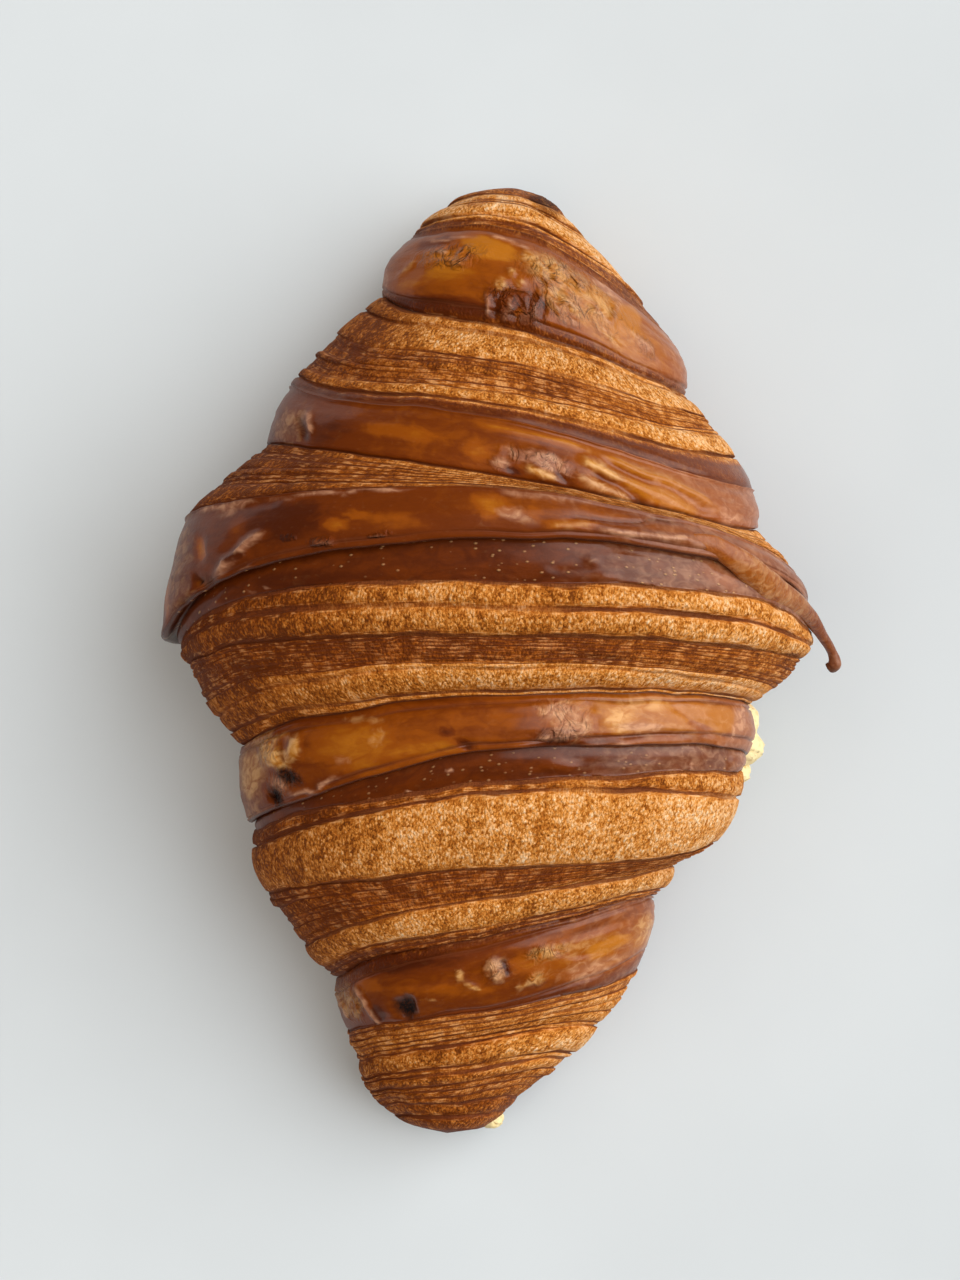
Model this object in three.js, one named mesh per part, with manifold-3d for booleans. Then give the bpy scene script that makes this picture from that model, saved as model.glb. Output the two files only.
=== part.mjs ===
// A croissant, lying flat on its base with its length along Y, the crown up and the pointed tail of the
// last wrap curling out to the right (+X). Millimetres. The origin is the middle of the flat base.
//
// The dough is a long triangle rolled up from its wide end. Each wrap shows a smooth washed face and a
// cut face where the layers of dough and butter end. The rings where those faces meet are the seams below,
// listed from the north tip to the south tip. The faces are lofted from one seam to the next.

import * as THREE from "three";
import { mergeVertices } from "three/addons/utils/BufferGeometryUtils.js";
import Module from "manifold-3d";

// Sizes of the whole
const NORTH_TIP = [-0.5, 80, 11];
const SOUTH_TIP = [-1.5, -81, 10];
const WIDEST_LEVEL = 0.42; // height of the widest level, as a share of the crown's height
const CROWN_FULLNESS = 2.15; // roundness of the upper half: 2 is an ellipse, more is boxier
const BELLY_FULLNESS = 2.6;
const BELLY_PRESS = 3.5; // how far the dough has sagged onto the tray, cut off by the flat base
const TIP_LIFT = 9; // how far the underside rises towards the tips
const GROOVE_HALF_WIDTH = 0.75;

// Steps round the dough, over its upper half and under it
const STEPS_OVER = 34;
const STEPS_UNDER = 12;

// Each seam: where it lies along Y at the left flank, left shoulder, crown, right shoulder and right
// flank, how far it stands out to the left and right, and how high its crown is.
const SEAMS = {
  northNub: { along: [78.6, 79, 79.2, 78.8, 78.2], left: 8, right: 7, crown: 18 },
  northEnd: { along: [75.8, 77, 77, 75.5, 74.5], left: 11, right: 10.5, crown: 22 },
  innerNorthRidge: { along: [70.5, 70.5, 70.2, 62.2, 58], left: 16, right: 26, crown: 28 },
  innerNorthCrease: { along: [60.1, 55.7, 53.4, 48, 46.7], left: 20.5, right: 31, crown: 34 },
  middleNorthRidge: { along: [43, 39.6, 37.2, 31.1, 30.8], left: 34.5, right: 42.3, crown: 48 },
  middleNorthCrease: { along: [32.8, 31.3, 28.5, 24.2, 24.2], left: 37.8, right: 43.5, crown: 51 },
  lastNorthRidge: { along: [20, 23.2, 26.1, 21.9, 15.5], left: 50, right: 50, crown: 56 },
  lastLip: { along: [0.4, 11.8, 18.8, 17.8, 11.5], left: 52.5, right: 52, crown: 58 },
  outerSouthRidge: { along: [-0.5, 8.4, 12.2, 12.6, 7], left: 49.5, right: 53, crown: 56 },
  outerSouthFold: { along: [-3.5, 1, 4.2, 4.7, 2.8], left: 48, right: 51.5, crown: 53.5 },
  outerSouthCrease: { along: [-16.2, -10.5, -5, -3, -4.6], left: 39, right: 44, crown: 47 },
  middleLip: { along: [-28.3, -22.5, -13.2, -10.7, -12.7], left: 37.2, right: 44.5, crown: 48.5 },
  middleSouthRidge: { along: [-29.9, -24.9, -18.4, -15.3, -15.8], left: 36, right: 43.5, crown: 46.5 },
  middleSouthFold: { along: [-40.4, -37.1, -32.5, -29.6, -28.1], left: 33.5, right: 40, crown: 41 },
  middleSouthStep: { along: [-49.2, -43.5, -37.1, -33, -32.3], left: 27, right: 33.5, crown: 38.5 },
  middleSouthCrease: { along: [-54.7, -49.2, -44.3, -38.4, -37.7], left: 21.5, right: 31, crown: 33.5 },
  innerSouthRidge: { along: [-63.7, -60.4, -56.6, -52.2, -50.3], left: 19, right: 29, crown: 30 },
  innerSouthFold: { along: [-68.2, -65.2, -61.6, -58.8, -60.4], left: 17.5, right: 23.2, crown: 26 },
  southEnd: { along: [-77.3, -75, -73.5, -72.5, -74.2], left: 13.2, right: 10.2, crown: 19 },
  southNub: { along: [-80, -79.7, -79.3, -79, -79.4], left: 8, right: 5.5, crown: 15.5 },
};

// A groove between two layers: its share of the way across its face at the left flank, crown and right
// flank, and its depth
const groove = (left, crown, right, depth) => ({ left, crown, right, depth });

// Each face, from one seam to the next: how far it bulges out, how many plain steps cross it, and its
// grooves. Below a lip the face starts set in under the edge above it.
const FACES = [
  { from: "northNub", to: "northEnd", bulge: 0.4, steps: 2 },
  { from: "northEnd", to: "innerNorthRidge", bulge: 1, steps: 1, grooves: [groove(0.5, 0.45, 0.4, 0.8)] },
  { from: "innerNorthRidge", to: "innerNorthCrease", bulge: 2.2, steps: 6 },
  {
    from: "innerNorthCrease",
    to: "middleNorthRidge",
    bulge: 1.1,
    steps: 1,
    grooves: [groove(0.5, 0.44, 0.25, 0.8), groove(0.67, 0.61, 0.33, 0.6), groove(0.84, 0.79, 0.42, 0.8)],
  },
  { from: "middleNorthRidge", to: "middleNorthCrease", bulge: 0.7, steps: 4 },
  { from: "middleNorthCrease", to: "lastNorthRidge", bulge: 0.5, steps: 1, grooves: [groove(0.5, 0.5, 0.5, 0.7)] },
  { from: "lastNorthRidge", to: "lastLip", bulge: 0.9, steps: 5 },
  { from: "lastLip", to: "outerSouthRidge", bulge: 0.6, steps: 3, under: { depth: 2.6, reach: 1.4 } },
  { from: "outerSouthRidge", to: "outerSouthFold", bulge: 1, steps: 1, grooves: [groove(0.33, 0.46, 0.48, 0.8)] },
  {
    from: "outerSouthFold",
    to: "outerSouthCrease",
    bulge: 1.2,
    steps: 1,
    grooves: [groove(0.2, 0.2, 0.3, 0.6), groove(0.48, 0.42, 0.65, 0.8)],
  },
  { from: "outerSouthCrease", to: "middleLip", bulge: 1.1, steps: 5 },
  { from: "middleLip", to: "middleSouthRidge", bulge: 0.5, steps: 3, under: { depth: 1.8, reach: 1 } },
  { from: "middleSouthRidge", to: "middleSouthFold", bulge: 1.3, steps: 2, grooves: [groove(0.69, 0.11, 0.45, 0.8)] },
  { from: "middleSouthFold", to: "middleSouthStep", bulge: 0.3, steps: 1, grooves: [groove(0.5, 0.5, 0.5, 0.6)] },
  { from: "middleSouthStep", to: "middleSouthCrease", bulge: 0.9, steps: 1, grooves: [groove(0.8, 0.8, 0.8, 0.6)] },
  { from: "middleSouthCrease", to: "innerSouthRidge", bulge: 1, steps: 5 },
  { from: "innerSouthRidge", to: "innerSouthFold", bulge: 0.7, steps: 2 },
  { from: "innerSouthFold", to: "southEnd", bulge: 1.2, steps: 1, grooves: [groove(0.56, 0.48, 0.59, 0.8)] },
  { from: "southEnd", to: "southNub", bulge: 0.4, steps: 2 },
];

// The tail: the point of the triangle, dried to a thin curl that runs off the last wrap and stands clear
// of the flank. Its middle line, and the width and thickness there.
const TAIL = [
  { at: [34, 19.4, 43.5], width: 5.5, thickness: 3.5 },
  { at: [42.8, 16.5, 42.5], width: 5.2, thickness: 3.2 },
  { at: [47.8, 13.8, 38.5], width: 3.6, thickness: 2.6 },
  { at: [51.5, 10.8, 33], width: 2.6, thickness: 2 },
  { at: [54.1, 7.9, 29.5], width: 1.8, thickness: 1.6 },
  { at: [56.3, 5, 27], width: 1.5, thickness: 1.5 },
  { at: [57.1, 3, 26], width: 2.2, thickness: 2.2 },
  { at: [56.2, 2.3, 25.5], width: 1.8, thickness: 1.8 },
];
const TAIL_STEPS = 21;
const TAIL_SIDES = 10;
const TAIL_TIP = 0.5; // how far the rounded end reaches past the middle line

// Pale crumb that has pushed out from under the crust, low on the right flank and at the south tip
const CRUMBS = [
  { at: [42, -8, 13], radii: [5.4, 5, 6] },
  { at: [42, -12, 12], radii: [6.6, 4, 6.5] },
  { at: [41, -16, 10.5], radii: [5, 3, 5] },
  { at: [3.6, -76.6, 8], radii: [2.4, 2.4, 2.2] },
];

const TURN = 2 * Math.PI;
const RIGHT_FLANK = TURN / 2; // the left flank is at 0 and the crown a quarter turn on
const QUARTER = TURN / 4;
const TRAY = { width: 200, length: 220, depth: 20 };

// A smooth closed curve through values at given angles, one turn long
function roundCurve(angles, values) {
  const count = angles.length;
  const angleAt = (i) => angles[((i % count) + count) % count] + TURN * Math.floor(i / count);
  const valueAt = (i) => values[((i % count) + count) % count];
  const slopeAt = (i) => (valueAt(i + 1) - valueAt(i - 1)) / (angleAt(i + 1) - angleAt(i - 1));
  return (angle) => {
    let i = 0;
    while (i < count - 1 && angleAt(i + 1) <= angle) i++;
    const span = angleAt(i + 1) - angleAt(i);
    const t = (angle - angleAt(i)) / span;
    const [t2, t3] = [t * t, t * t * t];
    return (
      valueAt(i) * (2 * t3 - 3 * t2 + 1) +
      slopeAt(i) * span * (t3 - 2 * t2 + t) +
      valueAt(i + 1) * (3 * t2 - 2 * t3) +
      slopeAt(i + 1) * span * (t3 - t2)
    );
  };
}

// Where a seam lies along Y at an angle. Underneath it runs back from the right flank to the left.
function seamCurve(seam) {
  const angles = [0, QUARTER / 2, QUARTER, 1.5 * QUARTER, RIGHT_FLANK, 3 * QUARTER];
  const under = (seam.along[0] + seam.along[4]) / 2;
  return roundCurve(angles, [...seam.along, under]);
}

// Share of the way across its face at which a groove lies at an angle
function grooveCurve({ left, crown, right }) {
  return roundCurve([0, QUARTER, RIGHT_FLANK, 3 * QUARTER], [left, crown, right, (left + right) / 2]);
}

const power = (value, exponent) => Math.sign(value) * Math.abs(value) ** exponent;

// How much of the relief is left at an angle: all of it above, fading to none in the middle of the base
const relief = (angle) => (angle <= RIGHT_FLANK ? 1 : (1 + Math.sin(angle)) ** 2);

// The angles of a ring's points
function ringAngles() {
  const angles = [];
  for (let i = 0; i < STEPS_OVER; i++) angles.push((i / STEPS_OVER) * RIGHT_FLANK);
  for (let i = 0; i < STEPS_UNDER; i++) angles.push(RIGHT_FLANK + (i / STEPS_UNDER) * RIGHT_FLANK);
  return angles;
}

// The point of a seam at an angle, and the way out of the dough there
function seamPoint(seam, along, angle) {
  const level = WIDEST_LEVEL * seam.crown;
  const upper = angle <= RIGHT_FLANK;
  const halfWidth = Math.cos(angle) > 0 ? seam.left : seam.right;
  const underside = -BELLY_PRESS + TIP_LIFT * Math.abs(along / NORTH_TIP[1]) ** 4;
  const halfHeight = upper ? seam.crown - level : level - underside;
  const fullness = upper ? CROWN_FULLNESS : BELLY_FULLNESS;
  const x = -halfWidth * power(Math.cos(angle), 2 / fullness);
  const rise = halfHeight * power(Math.sin(angle), 2 / fullness);
  const out = new THREE.Vector3(x / halfWidth ** 2, 0, rise / halfHeight ** 2).normalize();
  return { point: new THREE.Vector3(x, along, level + rise), out };
}

// The rows that cross a face: the share of the way across at an angle, and how deep the row lies
function faceRows(face) {
  const from = SEAMS[face.from];
  const to = SEAMS[face.to];
  const half = GROOVE_HALF_WIDTH / Math.abs(from.along[2] - to.along[2]);
  const marks = [{ at: () => 0, depth: 0 }];
  for (const line of face.grooves ?? []) {
    const curve = grooveCurve(line);
    marks.push({ at: (angle) => curve(angle) - half, depth: 0 });
    marks.push({ at: curve, depth: line.depth });
    marks.push({ at: (angle) => curve(angle) + half, depth: 0 });
  }
  marks.push({ at: () => 1, depth: 0 });
  const rows = [];
  for (let i = 0; i < marks.length - 1; i++) {
    const [a, b] = [marks[i], marks[i + 1]];
    const steps = a.depth || b.depth ? 1 : face.steps;
    for (let j = 0; j < steps; j++) {
      const t = j / steps;
      rows.push({ at: (angle) => a.at(angle) * (1 - t) + b.at(angle) * t, depth: a.depth * (1 - t) });
    }
  }
  return rows;
}

// The ring of points for one row of a face
function faceRing(face, row) {
  const [from, to] = [SEAMS[face.from], SEAMS[face.to]];
  const [fromCurve, toCurve] = [seamCurve(from), seamCurve(to)];
  return ringAngles().map((angle) => {
    const share = THREE.MathUtils.clamp(row.at(angle), 0, 1);
    const a = seamPoint(from, fromCurve(angle), angle);
    const b = seamPoint(to, toCurve(angle), angle);
    if (face.under) {
      a.point.addScaledVector(a.out, -face.under.depth * relief(angle));
      a.point.y += face.under.reach * relief(angle);
    }
    const out = a.out.clone().lerp(b.out, share).normalize();
    const swell = face.bulge * 4 * share * (1 - share) - row.depth;
    return a.point.lerp(b.point, share).addScaledVector(out, swell * relief(angle));
  });
}

// A closed mesh through rings of equally many points, with a pole at each end
function loft(startPole, rings, endPole) {
  const sides = rings[0].length;
  const points = [startPole, ...rings.flat(), endPole];
  const index = [];
  const at = (ring, side) => 1 + ring * sides + (side % sides);
  const last = points.length - 1;
  for (let s = 0; s < sides; s++) {
    index.push(0, at(0, s), at(0, s + 1));
    index.push(last, at(rings.length - 1, s + 1), at(rings.length - 1, s));
    for (let r = 0; r < rings.length - 1; r++) {
      index.push(at(r, s), at(r + 1, s + 1), at(r, s + 1));
      index.push(at(r, s), at(r + 1, s), at(r + 1, s + 1));
    }
  }
  const geometry = new THREE.BufferGeometry().setFromPoints(points);
  geometry.setIndex(index);
  return geometry;
}

// The rolled dough, still rounded underneath
function rollGeometry() {
  const rings = FACES.flatMap((face) => faceRows(face).map((row) => faceRing(face, row)));
  rings.push(faceRing(FACES.at(-1), { at: () => 1, depth: 0 }));
  return loft(new THREE.Vector3(...NORTH_TIP), rings, new THREE.Vector3(...SOUTH_TIP));
}

// The dried curl at the point of the triangle
function tailGeometry() {
  const middle = new THREE.CatmullRomCurve3(TAIL.map((part) => new THREE.Vector3(...part.at)));
  const rings = [];
  for (let i = 0; i <= TAIL_STEPS; i++) {
    const place = (i / TAIL_STEPS) * (TAIL.length - 1);
    const before = TAIL[Math.floor(place)];
    const after = TAIL[Math.ceil(place)];
    const share = place - Math.floor(place);
    const centre = middle.getPoint(i / TAIL_STEPS);
    const forward = middle.getTangent(i / TAIL_STEPS);
    const flat = new THREE.Vector3(0, 0, 1).cross(forward).normalize();
    const up = forward.clone().cross(flat);
    const halfWidth = THREE.MathUtils.lerp(before.width, after.width, share) / 2;
    const halfThickness = THREE.MathUtils.lerp(before.thickness, after.thickness, share) / 2;
    const ring = [];
    for (let s = 0; s < TAIL_SIDES; s++) {
      const angle = (-s / TAIL_SIDES) * TURN;
      const point = centre.clone().addScaledVector(flat, halfWidth * Math.cos(angle));
      ring.push(point.addScaledVector(up, halfThickness * Math.sin(angle)));
    }
    rings.push(ring);
  }
  const tip = middle.getPoint(1).addScaledVector(middle.getTangent(1), TAIL_TIP);
  return loft(middle.getPoint(0), rings, tip);
}

// One rounded lump of pale crumb
function crumbGeometry({ at, radii }) {
  const lump = new THREE.SphereGeometry(1, 14, 9);
  return lump.scale(...radii).translate(...at);
}

// Everything below the tray's surface, which the flat base loses
function trayGeometry() {
  return new THREE.BoxGeometry(TRAY.width, TRAY.length, TRAY.depth).translate(0, 0, -TRAY.depth / 2);
}

const wasm = await Module();
wasm.setup();

// A closed geometry as a solid that can be joined and cut
function solidOf(geometry) {
  const plain = geometry.clone();
  plain.deleteAttribute("normal");
  plain.deleteAttribute("uv");
  const merged = mergeVertices(plain, 1e-4);
  return new wasm.Manifold(
    new wasm.Mesh({
      numProp: 3,
      vertProperties: merged.attributes.position.array,
      triVerts: new Uint32Array(merged.index.array),
    }),
  );
}

// A solid back as a geometry
function geometryOf(solid) {
  const mesh = solid.getMesh();
  const geometry = new THREE.BufferGeometry();
  geometry.setAttribute("position", new THREE.BufferAttribute(mesh.vertProperties, 3));
  geometry.setIndex(new THREE.BufferAttribute(mesh.triVerts, 1));
  geometry.computeVertexNormals();
  return geometry;
}

// The browned crust
function crustMaterial() {
  return new THREE.MeshStandardMaterial({ color: 0xb4641f, roughness: 0.45, metalness: 0 });
}

// The roll, its tail and the crumb as one solid with a flat base
function croissantSolid() {
  const pieces = [rollGeometry(), tailGeometry(), ...CRUMBS.map(crumbGeometry)];
  const whole = pieces.map(solidOf).reduce((joined, piece) => joined.add(piece));
  return whole.subtract(solidOf(trayGeometry()));
}

const croissant = new THREE.Mesh(geometryOf(croissantSolid()), crustMaterial());
croissant.name = "croissant";

const group = new THREE.Group();
group.add(croissant);

export default group;
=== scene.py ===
"""A butter croissant, browned and glossy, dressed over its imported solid.

The dough is a long triangle rolled up from its wide end. Each wrap shows a smooth washed face and a cut
face where its layers end. The rings where the faces meet are the seams. The crust is lofted from seam to
seam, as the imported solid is, and gets the layers, blisters and crumple of the real one on top.
Everything is measured in millimetres until it becomes a mesh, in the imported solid's own frame.
"""

import math

import bpy
import numpy as np
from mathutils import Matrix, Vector


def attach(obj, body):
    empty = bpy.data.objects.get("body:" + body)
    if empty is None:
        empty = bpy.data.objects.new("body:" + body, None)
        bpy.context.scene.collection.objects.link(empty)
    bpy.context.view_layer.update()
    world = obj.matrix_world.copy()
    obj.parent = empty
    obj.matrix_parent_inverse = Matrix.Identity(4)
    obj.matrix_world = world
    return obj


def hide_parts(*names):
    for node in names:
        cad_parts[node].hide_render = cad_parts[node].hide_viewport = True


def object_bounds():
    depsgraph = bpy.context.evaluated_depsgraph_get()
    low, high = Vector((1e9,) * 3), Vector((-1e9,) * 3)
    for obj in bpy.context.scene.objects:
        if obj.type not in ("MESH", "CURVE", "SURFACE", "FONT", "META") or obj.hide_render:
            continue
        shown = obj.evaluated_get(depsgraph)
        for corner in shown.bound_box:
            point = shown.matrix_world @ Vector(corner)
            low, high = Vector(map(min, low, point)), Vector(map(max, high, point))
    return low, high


bl_info = {
    "name": "Croissant",
    "version": (1, 0, 0),
    "blender": (4, 5, 0),
    "location": "3D View > Sidebar > Croissant",
    "description": "Builds a browned, layered croissant on its packed solid",
    "category": "Add Mesh",
}

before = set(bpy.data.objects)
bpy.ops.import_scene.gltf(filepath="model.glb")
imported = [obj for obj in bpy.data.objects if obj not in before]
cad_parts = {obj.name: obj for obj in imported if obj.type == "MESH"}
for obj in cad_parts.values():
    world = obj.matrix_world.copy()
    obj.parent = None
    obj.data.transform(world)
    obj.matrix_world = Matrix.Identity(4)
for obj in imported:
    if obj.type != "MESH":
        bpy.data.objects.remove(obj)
CAD_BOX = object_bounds()

MM = 0.001
TURN = 2 * math.pi
QUARTER = TURN / 4
RIGHT_FLANK = TURN / 2  # the left flank is at 0 and the crown a quarter turn on

# Sizes of the whole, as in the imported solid
NORTH_TIP = (-0.5, 80, 11)
SOUTH_TIP = (-1.5, -81, 10)
WIDEST_LEVEL = 0.42
CROWN_FULLNESS = 2.15
BELLY_FULLNESS = 2.6
BELLY_PRESS = 3.5
TIP_LIFT = 9

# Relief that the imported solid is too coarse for
STEP_AT_FLANKS = 0.3  # how much more the layers step in and out there
LAYER_PUFF = 0.07  # how far a layer swells out, for each millimetre of its width
WIDEST_PUFF = 5
LINE_WANDER = 0.4
WASHED_WAVE = 0.3
RIPPLE = 0.12
WRINKLE_SIZE = (1.6, 2.6)
MOST_GROOVE = 0.3  # the most of a layer's width that a groove beside it takes
LEAST_GAP = 0.012  # between two lines, as a share of the way across their face
LEAST_SPAN = 0.5
# The two edges of a face are lines too: dark on a cut face, and dark on a washed face where they are a
# groove, as painted shade in that groove
EDGE_DARK_AND_CREASE_SHADE = 0.8
EDGE_BAND = 0.25
# Painted side shading, added to the toast of each point: how much darker the left side is
# painted, as painted shade, and how much lighter the right side, as painted light where the light falls, on
# cut faces and on washed ones, and how far from the middle that starts and how much further on it is in
# full
SIDE_SHADING = dict(cut=(0.55, -0.22), washed=(0.12, -0.15))
SIDE_START = 5
SIDE_REACH = 35
MOST_TOAST = 0.74  # before the marks
LIP_TOAST = 0.9
# How much of the wash's gloss the steep left flank lacks, by how far the crust there faces left
SHADY_GLOSS = 0.6
SHADY_START = 0.45
SHADY_REACH = 0.4
# Painted sheen: how far the washed faces are painted with dull skin towards the right, standing in for the
# window's sheen there, and how much further where they are bubbly
SIDE_SHEEN = 0.35
BUBBLY_SHEEN = 0.08
SHEEN_START = 2
SHEEN_REACH = 30
# The shader's values away from all lines, and between the textures of two neighbouring faces
FAR_FROM_LINES = 5
TEXTURE_SHIFT = 40
# The free edge of a lip: how far south and how far down into the dough each of its rows lies
LIP_PROFILE = ((0.3, 0.35), (0.35, 0.8), (0.05, 1.25), (-0.5, 1.6))

# Each seam: where it lies along Y at the left flank, left shoulder, crown, right shoulder and right
# flank, how far it stands out to the left and right, and how high its crown is.
SEAMS = {
    "north_nub": dict(along=(78.6, 79, 79.2, 78.8, 78.2), left=8, right=7, crown=18),
    "north_end": dict(along=(75.8, 77, 77, 75.5, 74.5), left=11, right=10.5, crown=22),
    "inner_north_ridge": dict(along=(70.5, 70.5, 70.2, 62.2, 58), left=16, right=26, crown=28),
    "inner_north_crease": dict(along=(60.1, 55.7, 53.4, 48, 46.7), left=20.5, right=31, crown=34),
    "middle_north_ridge": dict(along=(43, 39.6, 37.2, 31.1, 30.8), left=34.5, right=42.3, crown=48),
    "middle_north_crease": dict(along=(32.8, 31.3, 28.5, 24.2, 24.2), left=37.8, right=43.5, crown=51),
    "last_north_ridge": dict(along=(20, 23.2, 26.1, 21.9, 15.5), left=50, right=50, crown=56),
    "last_lip": dict(along=(0.4, 11.8, 18.8, 17.8, 11.5), left=52.5, right=52, crown=58),
    "outer_south_ridge": dict(along=(-0.5, 8.4, 12.2, 12.6, 7), left=49.5, right=53, crown=56),
    "outer_south_fold": dict(along=(-3.5, 1, 4.2, 4.7, 2.8), left=48, right=51.5, crown=53.5),
    "outer_south_crease": dict(along=(-16.2, -10.5, -5, -3, -4.6), left=39, right=44, crown=47),
    "middle_lip": dict(along=(-28.3, -22.5, -13.2, -10.7, -12.7), left=37.2, right=44.5, crown=48.5),
    "middle_south_ridge": dict(along=(-29.9, -24.9, -18.4, -15.3, -15.8), left=36, right=43.5, crown=46.5),
    "middle_south_fold": dict(along=(-40.4, -37.1, -32.5, -29.6, -28.1), left=33.5, right=40, crown=41),
    "middle_south_step": dict(along=(-49.2, -43.5, -37.1, -33, -32.3), left=27, right=33.5, crown=38.5),
    "middle_south_crease": dict(along=(-54.7, -49.2, -44.3, -38.4, -37.7), left=21.5, right=31, crown=33.5),
    "inner_south_ridge": dict(along=(-63.7, -60.4, -56.6, -52.2, -50.3), left=19, right=29, crown=30),
    "inner_south_fold": dict(along=(-68.2, -65.2, -61.6, -58.8, -60.4), left=17.5, right=23.2, crown=26),
    "south_end": dict(along=(-77.3, -75, -73.5, -72.5, -74.2), left=13.2, right=10.2, crown=19),
    "south_nub": dict(along=(-80, -79.7, -79.3, -79, -79.4), left=8, right=5.5, crown=15.5),
}


def line(left, crown, right, half=0.45, depth=0.5, dark=0.9, band=0.15):
    """A dark line between two layers, by its share of the way across its face.

    half is half the width of its groove and band half the width of the dark itself, in millimetres.
    """
    return dict(at=(left, crown, right), half=half, depth=depth, dark=dark, band=band)


def sheaf(start, end, count, dark=1, depth=0.35):
    """Fine layer lines between two places, each given at the left flank, crown and right flank."""
    uneven = np.random.default_rng(count)
    lines = []
    for i in range(count):
        t = (i + uneven.uniform(-0.3, 0.3) * (0 < i < count - 1)) / (count - 1)
        left, crown, right = (a + (b - a) * t for a, b in zip(start, end))
        shade = uneven.uniform(0.5, 1)
        band = uneven.uniform(-0.06, 0.18)
        lines.append(line(left, crown, right, half=0.28, depth=depth * shade, dark=dark * shade, band=band))
    return lines


def strip(start, end, toast, wash):
    """A strip of a face, between two shares of the way across, with a tone and wash of its own."""
    return dict(start=start, end=end, toast=toast, wash=wash)


def spot(at, size, turn=0, **effects):
    """A round mark on a face: its middle seen from above, its two radii and its turn in degrees."""
    return dict(at=at, size=size, turn=turn, effects=effects)


def fold(start, end, width, **effects):
    """A long mark on a face, between two places seen from above."""
    return dict(start=start, end=end, width=width, effects=effects)
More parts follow.
